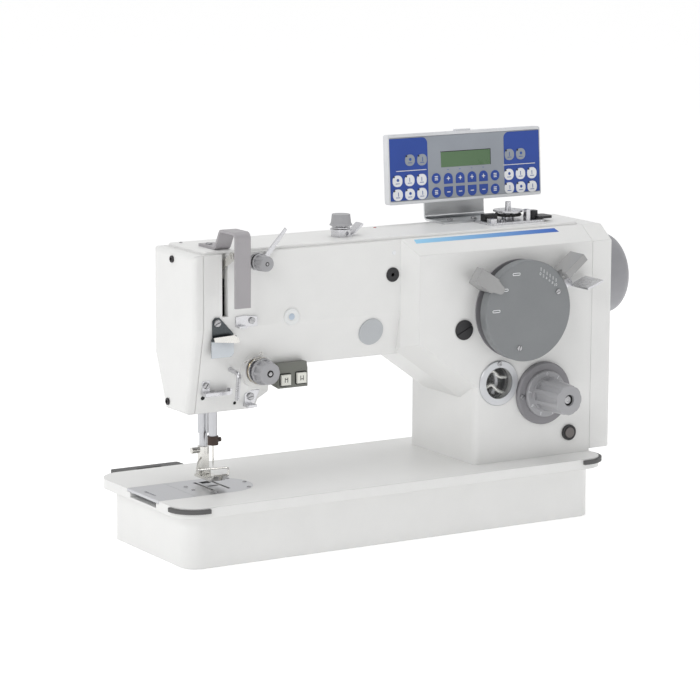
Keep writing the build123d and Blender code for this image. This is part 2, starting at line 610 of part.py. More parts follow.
parts["arm_shaft"] = arm_shaft()
parts["needle_crank"] = needle_crank()
parts["motor_stator"] = motor_stator()
parts["upper_pulley"] = pulley(SHAFT_Y, SHAFT_Z, PULLEY_R, SHAFT_R)
parts["lower_pulley"] = pulley(LOWER_Y, LOWER_Z, LOWER_PULLEY_R, LOWER_R)
parts["timing_belt"] = timing_belt()
parts["handwheel"] = handwheel()
parts["lower_shaft"] = lower_shaft()
parts["hook_shaft"] = hook_shaft()
parts["rotary_hook"] = rotary_hook()
parts["shaft_bushes"] = shaft_bushes()


# ---- needle bar, presser bar and take-up ----
NEEDLE_BAR_Z = (48.0, ARM_TOP - 38.8)
CLAMP_Z = 39.5
NEEDLE_TIP = 17.7
FRAME_Y = NEEDLE_Y + NEEDLE_BAR_R + 0.8
EYES = ((100.0, 112.0), (140.0, 152.0))
SOLE = 2.2
SOLE_PIN_Z = FOOT_LIFT + 5.2
SHANK_HALF = 4.0


def needle_bar_frame():
    body = block(NEEDLE_X + 1.5, NEEDLE_X + 8, FRAME_Y, FRAME_Y + 5, EYES[0][0], SWING_Z + 6)
    body += rod_y(SWING_X, SWING_Z, 7, FRAME_Y, FRAME_Y + 5)
    body += rod_y(SWING_X, SWING_Z, PIVOT_R, ARM_FRONT + WALL + 1, FRAME_Y)
    for low, high in EYES:
        eye = block(NEEDLE_X - 7.5, NEEDLE_X + 8, NEEDLE_Y - 6, FRAME_Y + 5, low, high)
        body += eye
    return body - rod_z(NEEDLE_X, NEEDLE_Y, NEEDLE_BAR_R + RUN, 0, NEEDLE_BAR_Z[1] + 4)


def needle_clamp():
    body = rod_z(NEEDLE_X, NEEDLE_Y, NEEDLE_BAR_R + 1.2, CLAMP_Z, NEEDLE_BAR_Z[0])
    body += rod_x(NEEDLE_Y, CLAMP_Z + 4.5, 2.2, NEEDLE_X, NEEDLE_X + 8)
    return body - rod_z(NEEDLE_X, NEEDLE_Y, 1.0, CLAMP_Z - 1, NEEDLE_BAR_Z[0] + 1)


def needle():
    body = rod_z(NEEDLE_X, NEEDLE_Y, 1.0, NEEDLE_TIP + 6, NEEDLE_BAR_Z[0] - 0.5)
    body += Pos(NEEDLE_X, NEEDLE_Y, NEEDLE_TIP + 3) * Cone(0.15, 1.0, 6)
    return body - rod_y(NEEDLE_X, NEEDLE_TIP + 8, 0.45, NEEDLE_Y - 2, NEEDLE_Y + 2)


def presser_bar():
    body = rod_z(NEEDLE_X, PRESSER_Y, PRESSER_BAR_R, 42 + FOOT_LIFT, 176)
    return body + rod_z(NEEDLE_X, PRESSER_Y, 3.9, 29 + FOOT_LIFT, 42 + FOOT_LIFT)


def presser_shank():
    low = FOOT_LIFT + SOLE + 0.6
    body = block(NEEDLE_X - SHANK_HALF, NEEDLE_X + SHANK_HALF, PRESSER_Y - 4, PRESSER_Y + 4,
                 low, 29 + FOOT_LIFT)
    body += rod_z(NEEDLE_X, PRESSER_Y, 5.6, 22 + FOOT_LIFT, 29 + FOOT_LIFT)
    body += rod_x(PRESSER_Y, 25.5 + FOOT_LIFT, 3, NEEDLE_X - 13, NEEDLE_X)
    return body - rod_x(PRESSER_Y, SOLE_PIN_Z, 1.5 + RUN, NEEDLE_X - 9, NEEDLE_X + 9)


def foot_sole():
    z = FOOT_LIFT
    profile = [(-26, z + 6.4), (-24.6, z + 7.6), (-18, z + SOLE), (13, z + SOLE), (13, z), (-17, z)]
    body = prism_yz(profile, NEEDLE_X - 8, NEEDLE_X + 8)
    body -= block(NEEDLE_X - 6.2, NEEDLE_X + 6.2, NEEDLE_Y - 3.2, NEEDLE_Y + 3.2, z - 1, z + 9)
    for side in (-1, 1):
        x = NEEDLE_X + side * 5.4
        body += block(x - 1, x + 1, PRESSER_Y - 3, PRESSER_Y + 3, z + SOLE - 0.5, SOLE_PIN_Z + 2.4)
    return body + rod_x(PRESSER_Y, SOLE_PIN_Z, 1.5, NEEDLE_X - 6.4, NEEDLE_X + 6.4)


def finger_guard():
    z = FOOT_LIFT
    points = [(NEEDLE_X - 2, PRESSER_Y - 1, z + 19), (-174, 0, z + 16), (-181, -10, z + 11),
              (-158, -30, z + 15), (-158.5, -30.5, z + 8)]
    return wire_rod(points, 0.9, 2.0) - presser_shank()


def take_up_lever():
    angle = math.radians(TAKE_UP_ANGLE)
    tip_y = TAKE_UP_Y - TAKE_UP_REACH * math.cos(angle)
    tip_z = TAKE_UP_Z + TAKE_UP_REACH * math.sin(angle)
    x0 = TAKE_UP_X - 1.3
    x1 = TAKE_UP_X + 1.3
    side_y = 3.2 * math.sin(angle)
    side_z = 3.2 * math.cos(angle)
    arm = [(TAKE_UP_Y + side_y, TAKE_UP_Z + side_z), (tip_y + side_y, tip_z + side_z),
           (tip_y - side_y, tip_z - side_z), (TAKE_UP_Y - side_y, TAKE_UP_Z - side_z)]
    body = prism_yz(arm, x0, x1) + rod_x(TAKE_UP_Y, TAKE_UP_Z, 7, x0, x1) + rod_x(tip_y, tip_z, 4.4, x0, x1)
    body += rod_x(TAKE_UP_Y, TAKE_UP_Z, PIVOT_R, -186, x0)
    return body - rod_x(tip_y, tip_z, 1.5, x0 - 1, x1 + 1)


def hand_lifter():
    y0 = ARM_REAR + GAP
    body = rod_y(LIFTER_X, LIFTER_Z, 9, y0, y0 + 7)
    arm = prism_xz([(0, 5), (58, 4), (58, -4), (0, -5)], y0 + 3, y0 + 7)
    arm += rod_y(58, 0, 6, y0 + 1, y0 + 9)
    body += Pos(LIFTER_X, 0, LIFTER_Z) * Rot(0, 22, 0) * arm
    return body + rod_y(LIFTER_X, LIFTER_Z, LIFTER_R, ARM_REAR - WALL - 4, y0)


def take_up_guard():
    path = [(3, LID_TOP + 1.3), (-28, LID_TOP + 1.3), (-38, 247.0), (-66.7, 247.0), (-66.7, 178)]
    face = Plane.YZ.offset(TAKE_UP_X - 5.6) * strip(path, 5, 2.6)
    return extrude(face, amount=16, dir=(1, 0, 0))


parts["needle_bar_frame"] = needle_bar_frame()
parts["needle_bar"] = rod_z(NEEDLE_X, NEEDLE_Y, NEEDLE_BAR_R, *NEEDLE_BAR_Z)
parts["needle_clamp"] = needle_clamp()
parts["needle"] = needle()
parts["presser_bar"] = presser_bar()
parts["presser_shank"] = presser_shank()
parts["foot_sole"] = foot_sole()
parts["finger_guard"] = finger_guard()
parts["take_up_lever"] = take_up_lever()
parts["take_up_guard"] = take_up_guard()
parts["hand_lifter"] = hand_lifter()


# ---- thread path ----
KNOB_FRONT = -56.0
PRE_FRONT = -58.0
WINDER_TENSION = (-22.7, -8.0)


def fluted_knob(x, z, r_front, r_back, y0, y1, grooves, depth):
    """Tapered knob along Y with shallow grooves down its side."""
    body = cone_y(x, z, r_front, r_back, y0, y1)
    body = fillet(body.edges().sort_by(Axis.Y)[0], 1.2)
    groove_r = r_back * math.pi / grooves * 0.8
    for i in range(grooves):
        a = 2 * math.pi * (i + 0.5) / grooves
        reach = r_front + groove_r - depth
        body -= rod_y(x + reach * math.cos(a), z + reach * math.sin(a), groove_r, y0 - 1, y1 - 3)
    return body


def tension_posts():
    main = rod_y(TENSION_X, TENSION_Z, POST_R, KNOB_FRONT + 3, TENSION_SEAT + 6)
    main += rod_y(TENSION_X, TENSION_Z, 13, TENSION_SEAT - 1.2, TENSION_SEAT)
    main += rod_y(TENSION_X, TENSION_Z, 12, TENSION_SEAT - 3.0, TENSION_SEAT - 1.8)
    main += rod_y(TENSION_X, TENSION_Z, 5, TENSION_SEAT - 10.5, TENSION_SEAT - 1)
    main += rod_y(TENSION_X, TENSION_Z, 12.2, TENSION_SEAT - 6.2, TENSION_SEAT - 4.2)
    pre = rod_y(PRE_X, PRE_Z, POST_R, PRE_FRONT + 3, ARM_FRONT + 4)
    pre += rod_y(PRE_X, PRE_Z, 8.4, ARM_FRONT - 3.2, ARM_FRONT - 2)
    pre += rod_y(PRE_X, PRE_Z, 8.4, ARM_FRONT - 1.4, ARM_FRONT)
    pre += rod_y(PRE_X, PRE_Z, 5, ARM_FRONT - 5.6, ARM_FRONT)
    prong = [(PRE_X + 5, PRE_Z + 4), (PRE_X + 9, PRE_Z + 1), (PRE_X + 31, PRE_Z + 28),
             (PRE_X + 29, PRE_Z + 30)]
    pre += prism_xz(prong, ARM_FRONT - 3.2, ARM_FRONT - 1.4)
    x, y = WINDER_TENSION
    top = rod_z(x, y, POST_R, LID_TOP + 6.4, LID_TOP + 20)
    top += rod_z(x, y, 10.5, LID_TOP + 6.4, LID_TOP + 7.6)
    top += rod_z(x, y, 9, LID_TOP + 8.2, LID_TOP + 9.2)
    top += rod_z(x, y, 4.5, LID_TOP + 6.4, LID_TOP + 10.6)
    return Compound(children=[main, pre, top])


def winder_tension_block():
    x, y = WINDER_TENSION
    body = block(x - 7.2, x + 7.2, y - 6, y + 6, LID_TOP, LID_TOP + 6.4)
    body -= rod_y(x + 3.2, LID_TOP + 3.2, 1.8, y - 7, y + 7)
    guide = Pos(x + 11.5, y, LID_TOP) * prism_xz([(-4.4, 0), (-3, 0), (10, 10), (10, 12), (8.6, 12)], -6, 6)
    return body + guide + block(x + 7, x + 9.5, y - 6, y + 6, LID_TOP, LID_TOP + 1.4)


def upper_thread_guide():
    y = ARM_FRONT
    plate = [(-179.5, 149), (-179.5, 163), (-176.5, 166), (-172.5, 166), (-157.5, 150), (-157.5, 149)]
    plate = prism_xz(plate, y - 1.4, y)
    lip = prism_xz([(-179.5, 146), (-157.5, 146), (-157.5, 149), (-179.5, 149)], y - 7, y)
    lip -= prism_xz([(-181, 147.3), (-156, 147.3), (-156, 150), (-181, 150)], y - 5.6, y - 1.4)
    lower = [(-180.5, 128.5), (-160, 128.5), (-157.5, 131), (-157.5, 146), (-180.5, 146)]
    lower = prism_xz(lower, y - 1.2, y)
    return plate + lip + lower


def thread_guides():
    y = ARM_FRONT
    small = [(-155, 157), (-152, 155), (-132, 155), (-132, 164), (-146, 166), (-155, 165)]
    small = prism_xz(small, y - 1.4, y)
    small += prism_xz([(-155, 155.5), (-147, 155), (-147, 157), (-155, 157)], y - 8, y)
    face = slope_y(100)
    low = block(-184, -176, face - 1.5, face + 1.4, 94, 105) + block(-184, -156, face - 8, face, 91, 94.5)
    low += block(-184, -176, face - 1.5, face, 92, 95) + block(-158, -156, face - 8, face - 2, 91, 97)
    low -= slanted_block(-190, -150, 80, 120)
    lean = slope_y(85)
    side = [(-137, 88), (-126, 94), (-121, 94), (-121, 91), (-128, 76), (-137, 76)]
    side = prism_xz(side, lean - 1.4, lean + 3)
    side += prism_xz([(-137, 76), (-128, 76), (-128, 78.5), (-137, 78.5)], lean - 9, lean)
    side -= slanted_block(-140, -118, 70, 104)
    points = [(-155.5, slope_y(114), 114), (-155.5, -46, 112.5), (-158.5, -48, 88)]
    rod = wire_rod(points, 2.2, 5)
    rod -= slanted_block(-170, -140, 80, 130)
    return Compound(children=[small, low, side, rod])


def slanted_block(x0, x1, z0, z1):
    """Solid behind the head's slanted front face, used to seat pieces on it."""
    points = [(slope_y(z0), z0), (slope_y(z1), z1), (slope_y(z1) + 40, z1), (slope_y(z0) + 40, z0)]
    return prism_yz(points, x0, x1)


def knob_main():
    body = fluted_knob(TENSION_X, TENSION_Z, 10.4, 12.7, KNOB_FRONT, TENSION_SEAT - 11, 10, 0.3)
    return body - rod_y(TENSION_X, TENSION_Z, POST_R + RUN, KNOB_FRONT + 3 - GAP, TENSION_SEAT)


def knob_pre():
    body = fluted_knob(PRE_X, PRE_Z, 7.2, 8.2, PRE_FRONT, ARM_FRONT - 6, 10, 0.25)
    return body - rod_y(PRE_X, PRE_Z, POST_R + RUN, PRE_FRONT + 3 - GAP, ARM_FRONT)


def knob_winder():
    x, y = WINDER_TENSION
    z = LID_TOP + 11
    body = Pos(x, y, z + 1.2) * Cone(11.2, 9.8, 2.4) + Pos(x, y, z + 6.4) * Cone(9.8, 8.8, 8.2)
    return body - rod_z(x, y, POST_R + RUN, z - 1, LID_TOP + 20 + GAP)


parts["tension_posts"] = tension_posts()
parts["winder_tension_block"] = winder_tension_block()
parts["upper_thread_guide"] = upper_thread_guide()
parts["thread_guides"] = thread_guides()
parts["main_tension_knob"] = knob_main()
parts["pre_tension_knob"] = knob_pre()
parts["winder_tension_knob"] = knob_winder()


# ---- bobbin winder ----
WINDER_X = 178.2
WINDER_Y = 5.0
LATCH_X = 198.0
LATCH_Y = -9.0
SPINDLE_R = 2.95


def winder_base():
    z = LID_TOP
    body = rounded_plate(142, 206, -20, 11.7, z, z + 2.5, 3) + rod_z(WINDER_X, WINDER_Y, 6.5, z + 2.5, z + 5)
    body += block(186, 190.5, -16, -10.5, z + 2.5, z + 13) + block(145, 159, -4, 3, z + 2.5, z + 9)
    body += block(144, 151, -16, -9, z + 2.5, z + 6)
    body -= rod_z(WINDER_X, WINDER_Y, 3.5 + RUN, z + 1, z + 6)
    return body - rod_z(LATCH_X, LATCH_Y, 2.5 + RUN, z + 0.5, z + 4)


def winder_spindle():
    z = LID_TOP
    body = rod_z(WINDER_X, WINDER_Y, 3.5, z + 1.3, z + 5.3) + rod_z(WINDER_X, WINDER_Y, 11, z + 5.3, z + 7.5)
    body += rod_z(WINDER_X, WINDER_Y, 15, z + 9.5, z + 11) + rod_z(WINDER_X, WINDER_Y, 5, z + 7.5, z + 9.5)
    return body + rod_z(WINDER_X, WINDER_Y, SPINDLE_R, z + 11, z + 19)


def winder_latch():
    z = LID_TOP + 2.5 + GAP
    body = rod_z(LATCH_X, LATCH_Y, 5, z, z + 8) + rod_z(LATCH_X, LATCH_Y, 2.5, LID_TOP + 0.8, z)
    return body + rounded_plate(LATCH_X, LATCH_X + 17, LATCH_Y - 11, LATCH_Y + 6, z + 0.5, z + 3, 3)


parts["winder_base"] = winder_base()
parts["winder_spindle"] = winder_spindle()
parts["winder_latch"] = winder_latch()


# ---- stitch controls on the column ----
HUB_BASE = 1.5
LAYER = 2.2
POSITION_ANGLE = 147.0
WIDTH_ANGLE = 39.0
LIMIT_ANGLE = 20.0


def on_disc(shape, angle):
    """Place a shape drawn along +X from the disc axis at an angle in the X-Z plane."""
    return Pos(DISC_X, 0, DISC_Z) * Rot(0, -angle, 0) * shape


def lever_ring(y0, reach, width):
    ring = rod_y(0, 0, HUB_R + 6, y0, y0 + LAYER)
    ring += block(HUB_R, reach, y0, y0 + LAYER, -width / 2, width / 2)
    return ring - rod_y(0, 0, HUB_R + RUN, y0 - 1, y0 + LAYER + 1)


def layer_y(index):
    return DISC_BACK + 0.4 + index * (LAYER + 0.5)


def disc_hub():
    body = rod_y(DISC_X, DISC_Z, DISC_R - 1.0, COLUMN_FRONT - HUB_BASE, COLUMN_FRONT)
    return body + rod_y(DISC_X, DISC_Z, HUB_R, DISC_BACK, COLUMN_FRONT - HUB_BASE)


def disc_cover():
    body = rod_y(DISC_X, DISC_Z, DISC_R, DISC_FRONT, DISC_BACK)
    return fillet(body.edges().sort_by(Axis.Y)[0], 1.6)


def position_lever():
    y0 = layer_y(0)
    body = lever_ring(y0, DISC_R + 12, 11)
    front = DISC_FRONT - 8.4
    grip = block(DISC_R + 3, DISC_R + 26, front, y0 + 4, -7.5, 7.5)
    grip -= prism_xy([(DISC_R + 17, y0 + 5), (DISC_R + 27, y0 + 5), (DISC_R + 27, front + 9)], -9, 9)
    tip = DISC_R - 4
    pointer = prism_xz([(tip, -4.2), (tip, 4.2), (DISC_R + 6, 7.5), (DISC_R + 6, -7.5)], front, DISC_FRONT - 1)
    pointer += rod_y(tip, 0, 4.3, front, DISC_FRONT - 1)
    return on_disc(body + grip + pointer, POSITION_ANGLE)


def width_lever():
    y0 = layer_y(1)
    body = lever_ring(y0, DISC_R + 8, 8)
    grip = block(DISC_R + 2, DISC_R + 29, DISC_FRONT - 7.5, y0 + LAYER, -3.8, 3.8)
    grip -= rod_z(DISC_R + 2, DISC_FRONT + 3, 3, -5, 5)
    return on_disc(body + grip, WIDTH_ANGLE)


def width_limiter():
    y0 = layer_y(2)
    body = lever_ring(y0, DISC_R + 16, 9)
    wing = block(DISC_R + 14, DISC_R + 34, DISC_FRONT - 12, y0 + LAYER, -4.5, -2.7)
    return on_disc(body + wing, LIMIT_ANGLE)


DIAL_PLATE = 5.0
DIAL_FRONT = COLUMN_FRONT - 47.0


def dial_flange():
    body = rod_y(DIAL_X, DIAL_Z, DIAL_R, COLUMN_FRONT - DIAL_PLATE, COLUMN_FRONT)
    body = chamfer(body.edges().sort_by(Axis.Y)[0], 1.2)
    return body - rod_y(DIAL_X, DIAL_Z, DIAL_SHAFT_R + RUN, COLUMN_FRONT - 10, COLUMN_FRONT + 1)


def stitch_dial():
    y1 = COLUMN_FRONT - DIAL_PLATE - GAP
    ring = rod_y(DIAL_X, DIAL_Z, 22.8, y1 - 3.6, y1)
    ring = chamfer(ring.edges().sort_by(Axis.Y)[0], 1.0)
    knob = fluted_knob(DIAL_X, DIAL_Z, 14.8, 17.0, DIAL_FRONT, y1 - 3.6, 9, 0.9)
    knob -= rod_y(DIAL_X, DIAL_Z, 5.6, DIAL_FRONT - 1, DIAL_FRONT + 3)
    return ring + knob + rod_y(DIAL_X, DIAL_Z, DIAL_SHAFT_R, y1, COLUMN_FRONT + 4)


def sight_glass_ring():
    body = rod_y(SIGHT_X, SIGHT_Z, SIGHT_R, COLUMN_FRONT - 2, COLUMN_FRONT)
    body = chamfer(body.edges().sort_by(Axis.Y)[0], 0.8)
    return body - rod_y(SIGHT_X, SIGHT_Z, SIGHT_R - 7, COLUMN_FRONT - 3, COLUMN_FRONT + 1)


def black_plugs():
    plug = rod_y(PLUG_X, PLUG_Z, 9.8, COLUMN_FRONT - 1.4, COLUMN_FRONT)
    plug += rod_y(PLUG_X, PLUG_Z, 7.9, COLUMN_FRONT, COLUMN_FRONT + 5)
    slit = block(-11, 11, COLUMN_FRONT - 2, COLUMN_FRONT - 0.6, -0.8, 0.8)
    plug -= Pos(PLUG_X, 0, PLUG_Z) * Rot(0, -25, 0) * slit
    bush = rod_y(BUSH_X, BUSH_Z, 7, ARM_FRONT - 0.8, ARM_FRONT)
    bush += rod_y(BUSH_X, BUSH_Z, 5.4, ARM_FRONT, ARM_FRONT + 5)
    bush -= rod_y(BUSH_X, BUSH_Z, 1.7, ARM_FRONT - 1, ARM_FRONT + 3)
    ring = rod_y(BUTTON_X, BUTTON_Z, 7.8, COLUMN_FRONT - 2.4, COLUMN_FRONT)
    ring += rod_y(BUTTON_X, BUTTON_Z, 6.4, COLUMN_FRONT, COLUMN_FRONT + WALL)
    ring -= rod_y(BUTTON_X, BUTTON_Z, BUTTON_R + 0.3, COLUMN_FRONT - 3, COLUMN_FRONT + WALL + 1)
    return Compound(children=[plug, bush, ring])


BUTTON_R = 5.2
COVER_X = -5.0
COVER_Z = 138.0


def inspection_cover():
    lean = math.degrees(math.atan((HEAD_LOW_FRONT - ARM_FRONT) / (BEND_FRONT - HEAD_BOTTOM)))
    disc = Rot(lean, 0, 0) * rod_y(0, 0, 13.2, -1.4, 0)
    return Pos(COVER_X, slope_y(COVER_Z), COVER_Z) * disc


KEYS = ((-102.4, 101.0), (-85.5, 101.7))
KEY = 10.0
KEY_FRONT = -42.5


def keypad_housing():
    profile = [(-40, 93), (-16, 96), (-16, ARM_UNDER), (slope_y(ARM_UNDER) - GAP, ARM_UNDER), (-31, 116.5),
               (-38, 116.5), (-40, 110)]
    body = prism_yz(profile, -110, -78)
    for x, z in KEYS:
        half = KEY / 2 + GAP
        body -= block(x - half, x + half, -41, KEY_FRONT + 9, z - half, z + half)
    return body


def key_cap(x, z):
    return block(x - KEY / 2, x + KEY / 2, KEY_FRONT, KEY_FRONT + 6.4, z - KEY / 2, z + KEY / 2)


parts["disc_hub"] = disc_hub()
parts["disc_cover"] = disc_cover()
parts["position_lever"] = position_lever()
parts["width_lever"] = width_lever()
parts["width_limiter"] = width_limiter()
parts["dial_flange"] = dial_flange()
parts["stitch_dial"] = stitch_dial()
parts["sight_glass_ring"] = sight_glass_ring()
parts["black_plugs"] = black_plugs()
parts["push_button"] = rod_y(BUTTON_X, BUTTON_Z, BUTTON_R, COLUMN_FRONT - 3.2, COLUMN_FRONT + 5)
parts["inspection_cover"] = inspection_cover()
parts["keypad_housing"] = keypad_housing()
parts["left_key"] = key_cap(*KEYS[0])
parts["right_key"] = key_cap(*KEYS[1])


# ---- operating panel ----
def on_panel(shape):
    return Pos(PANEL_X, PANEL_Y, PANEL_Z) * Rot(-PANEL_TILT, 0, 0) * shape


def panel_housing():
    half = PANEL_WIDTH / 2
    body = block(-half, half, 0, PANEL_RIM, 0, PANEL_HEIGHT)
    body = fillet(body.edges().filter_by(Axis.Y), 2.5)
    body = chamfer(body.faces().sort_by(Axis.Y)[0].edges(), 0.4)
    box = block(-half + PANEL_INSET, half - PANEL_INSET, PANEL_RIM, PANEL_DEPTH, PANEL_INSET / 2,
                PANEL_HEIGHT - PANEL_INSET)
    body += fillet(box.edges().filter_by(Axis.Y), 4)
    body += block(-9, 8, 2, 7, PANEL_HEIGHT - 1, PANEL_HEIGHT + 1.6)
    body -= block(-half + 1.3, half - 1.3, -1, 0.8, 3, PANEL_HEIGHT - 3)
    return on_panel(body)


def panel_bracket():
    """Bent plate: a flange on the lid and an upright along the housing's back."""
    lean = math.radians(PANEL_TILT)
    half = BRACKET / 2
    low = LID_TOP + half
    rise = BRACKET_TOP - low
    corner_y = PANEL_Y + (PANEL_DEPTH + half) / math.cos(lean) - (PANEL_Z - low) * math.tan(lean)
    path = [(12, low), (corner_y, low), (corner_y + rise * math.tan(lean), low + rise)]
    face = Plane.YZ.offset(PANEL_X - 33.2) * strip(path, 4, BRACKET)
    return extrude(face, amount=70, dir=(1, 0, 0))


parts["panel_housing"] = panel_housing()
parts["panel_bracket"] = panel_bracket()


# ---- screws ----
def screw_group():
    """Every visible screw, with the pieces its shank goes through."""
    disc_face = DISC_FRONT
    rear = COLUMN_REAR + 2.5
    flange = LID_TOP + BRACKET
    items = [
        (screw_left(3.7, 217.2, 3.4, HEAD_LEFT), ["face_cover"]),
        (screw_left(13.5, 80.7, 3.4, HEAD_LEFT), ["face_cover"]),
        (screw_y(182.2, 167.9, 2.8, disc_face), ["disc_cover"]),
        (screw_y(137.5, 115.9, 2.8, disc_face), ["disc_cover"]),
        (screw_y(SIGHT_X, SIGHT_Z + 19.2, 2.4, COLUMN_FRONT - 2), ["sight_glass_ring", "arm_casting"]),
        (screw_y(DIAL_X - 26.6, DIAL_Z - 1, 2.8, COLUMN_FRONT - DIAL_PLATE), ["dial_flange", "arm_casting"]),
        (screw_y(DIAL_X + 26.6, DIAL_Z + 1, 2.8, COLUMN_FRONT - DIAL_PLATE), ["dial_flange", "arm_casting"]),
        (screw_y(-174.8, 160.9, 3.6, ARM_FRONT - 1.4), ["upper_thread_guide", "arm_casting"]),
        (screw_y(-138.2, 160.6, 3.2, ARM_FRONT - 1.4), ["thread_guides", "arm_casting"]),
        (screw_y(-180.0, 100.5, 3.2, slope_y(100) - 1.5), ["thread_guides", "arm_casting"]),
        (screw_y(-131.0, 85.3, 3.6, slope_y(85) - 1.4), ["thread_guides", "arm_casting"]),
        (screw_z(TAKE_UP_X - 0.4, -8, 3.2, flange + 0.6), ["take_up_guard", "top_lid", "arm_casting"]),
        (screw_z(PANEL_X - 18, 24, 3.0, flange), ["panel_bracket", "top_lid"]),
        (screw_z(PANEL_X + 10, 24, 3.0, flange), ["panel_bracket", "top_lid"]),
        (screw_z(161, -11, 2.6, LID_TOP + 2.5), ["winder_base", "top_lid"]),
        (screw_z(200, 6, 2.6, LID_TOP + 2.5), ["winder_base", "top_lid"]),
    ]
    for x in (REAR_X0 + 6, REAR_X1 - 6):
        for z in (REAR_Z0 + 6, REAR_Z1 - 6):
            head = rod_y(x, z, 3, rear, rear + 1.6) + rod_y(x, z, 1.5, rear - 5, rear)
            items.append((head, ["rear_cover", "arm_casting"]))
    for y in (COLUMN_FRONT + 14, COLUMN_REAR - 14):
        for z in (20, 195):
            items.append((screw_right(y, z, 3.2, COVER_RIGHT), ["end_cover"]))
    for x in (CASTING_LEFT + 12, COLUMN_RIGHT - 10):
        items.append((screw_z(x, ARM_REAR - 12, 2.6, LID_TOP, head=0.8), ["top_lid", "arm_casting"]))
    return items


SCREWS = screw_group()
for screw, hosts in SCREWS:
    for host in hosts:
        parts[host] -= screw
parts["screws"] = Compound(children=[screw for screw, hosts in SCREWS])

os.makedirs("parts", exist_ok=True)
for name, shape in parts.items():
    export_step(shape, f"parts/{name}.step")
print(len(parts), "pieces")
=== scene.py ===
import bpy
import bmesh
import json
import math
from mathutils import Matrix, Vector


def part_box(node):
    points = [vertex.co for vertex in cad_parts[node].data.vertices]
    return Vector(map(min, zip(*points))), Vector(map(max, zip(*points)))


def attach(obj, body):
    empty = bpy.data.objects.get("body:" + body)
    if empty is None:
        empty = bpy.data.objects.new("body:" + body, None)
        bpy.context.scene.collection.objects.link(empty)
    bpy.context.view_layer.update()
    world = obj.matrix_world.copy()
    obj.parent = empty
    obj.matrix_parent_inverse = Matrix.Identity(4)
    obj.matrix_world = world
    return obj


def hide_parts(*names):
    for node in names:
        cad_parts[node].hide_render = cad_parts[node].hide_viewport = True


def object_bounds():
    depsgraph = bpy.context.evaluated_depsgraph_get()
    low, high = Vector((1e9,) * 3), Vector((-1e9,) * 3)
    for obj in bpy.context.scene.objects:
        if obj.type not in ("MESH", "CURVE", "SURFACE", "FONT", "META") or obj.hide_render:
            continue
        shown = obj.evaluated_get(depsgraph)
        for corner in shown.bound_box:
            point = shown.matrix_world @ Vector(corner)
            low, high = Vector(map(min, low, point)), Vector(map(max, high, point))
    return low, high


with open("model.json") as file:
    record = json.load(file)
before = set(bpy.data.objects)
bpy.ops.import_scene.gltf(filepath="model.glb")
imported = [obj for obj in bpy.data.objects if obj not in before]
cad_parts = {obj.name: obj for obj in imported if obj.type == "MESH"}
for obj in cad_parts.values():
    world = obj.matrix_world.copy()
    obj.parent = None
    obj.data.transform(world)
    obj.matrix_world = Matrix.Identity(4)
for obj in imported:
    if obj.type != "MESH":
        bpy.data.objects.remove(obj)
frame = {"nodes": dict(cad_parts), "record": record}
CAD_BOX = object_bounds()
NODES = frame["nodes"]
MM = 0.001
HEAD = "machine_head"


# ---- camera, light and floor ----
def at(x, y, z):
    return Vector((x, y, z)) * MM


def aim_camera():
    data = bpy.data.cameras.new("camera")
    camera = bpy.data.objects.new("camera", data)
    bpy.context.scene.collection.objects.link(camera)
    place = at(-1571.7, -2576.3, 659.2)
    turn = (at(-7, 0, 114.7) - place).to_track_quat("-Z", "Y").to_matrix().to_4x4()
    camera.matrix_world = Matrix.Translation(place) @ turn @ Matrix.Rotation(math.radians(0.29), 4, "Z")
    data.lens = 163.2
    data.sensor_width = 36.0
    data.clip_end = 50.0
    data.dof.use_dof = False
    bpy.context.scene.camera = camera


def soft_light(name, place, target, size, power):
    data = bpy.data.lights.new(name, "AREA")
    data.shape = "RECTANGLE"
    data.size, data.size_y = size
    data.energy = power
    light = bpy.data.objects.new(name, data)
    light.location = place
    light.rotation_euler = (Vector(target) - Vector(place)).to_track_quat("-Z", "Y").to_euler()
    bpy.context.scene.collection.objects.link(light)


aim_camera()
soft_light("key_light", (-2.2, -1.4, 1.6), (0, 0, 0.1), (1.4, 1.0), 18)
soft_light("fill_light", (1.8, -2.4, 1.2), (0, 0, 0.1), (1.2, 0.9), 6)
soft_light("top_light", (0.2, -0.2, 2.4), (0, 0, 0), (1.6, 1.2), 12)


def studio_world():
    """Bright surroundings that fall off towards the dark room in front of the machine."""
    world = bpy.data.worlds.new("studio")
    world.use_nodes = True
    tree = world.node_tree
    place = tree.nodes.new("ShaderNodeTexCoord")
    split = tree.nodes.new("ShaderNodeSeparateXYZ")
    fall = tree.nodes.new("ShaderNodeMapRange")
    fall.interpolation_type = "SMOOTHSTEP"
    fall.inputs["From Min"].default_value = -0.75
    fall.inputs["From Max"].default_value = 0.15
    fall.inputs["To Min"].default_value = 0.30
    fall.inputs["To Max"].default_value = 0.80
    tree.links.new(place.outputs["Generated"], split.inputs["Vector"])
    tree.links.new(split.outputs["Y"], fall.inputs["Value"])
    background = tree.nodes["Background"]
    background.inputs["Color"].default_value = (1.0, 1.0, 1.0, 1)
    tree.links.new(fall.outputs["Result"], background.inputs["Strength"])
    bpy.context.scene.world = world


studio_world()
bpy.context.scene.view_settings.view_transform = "Standard"


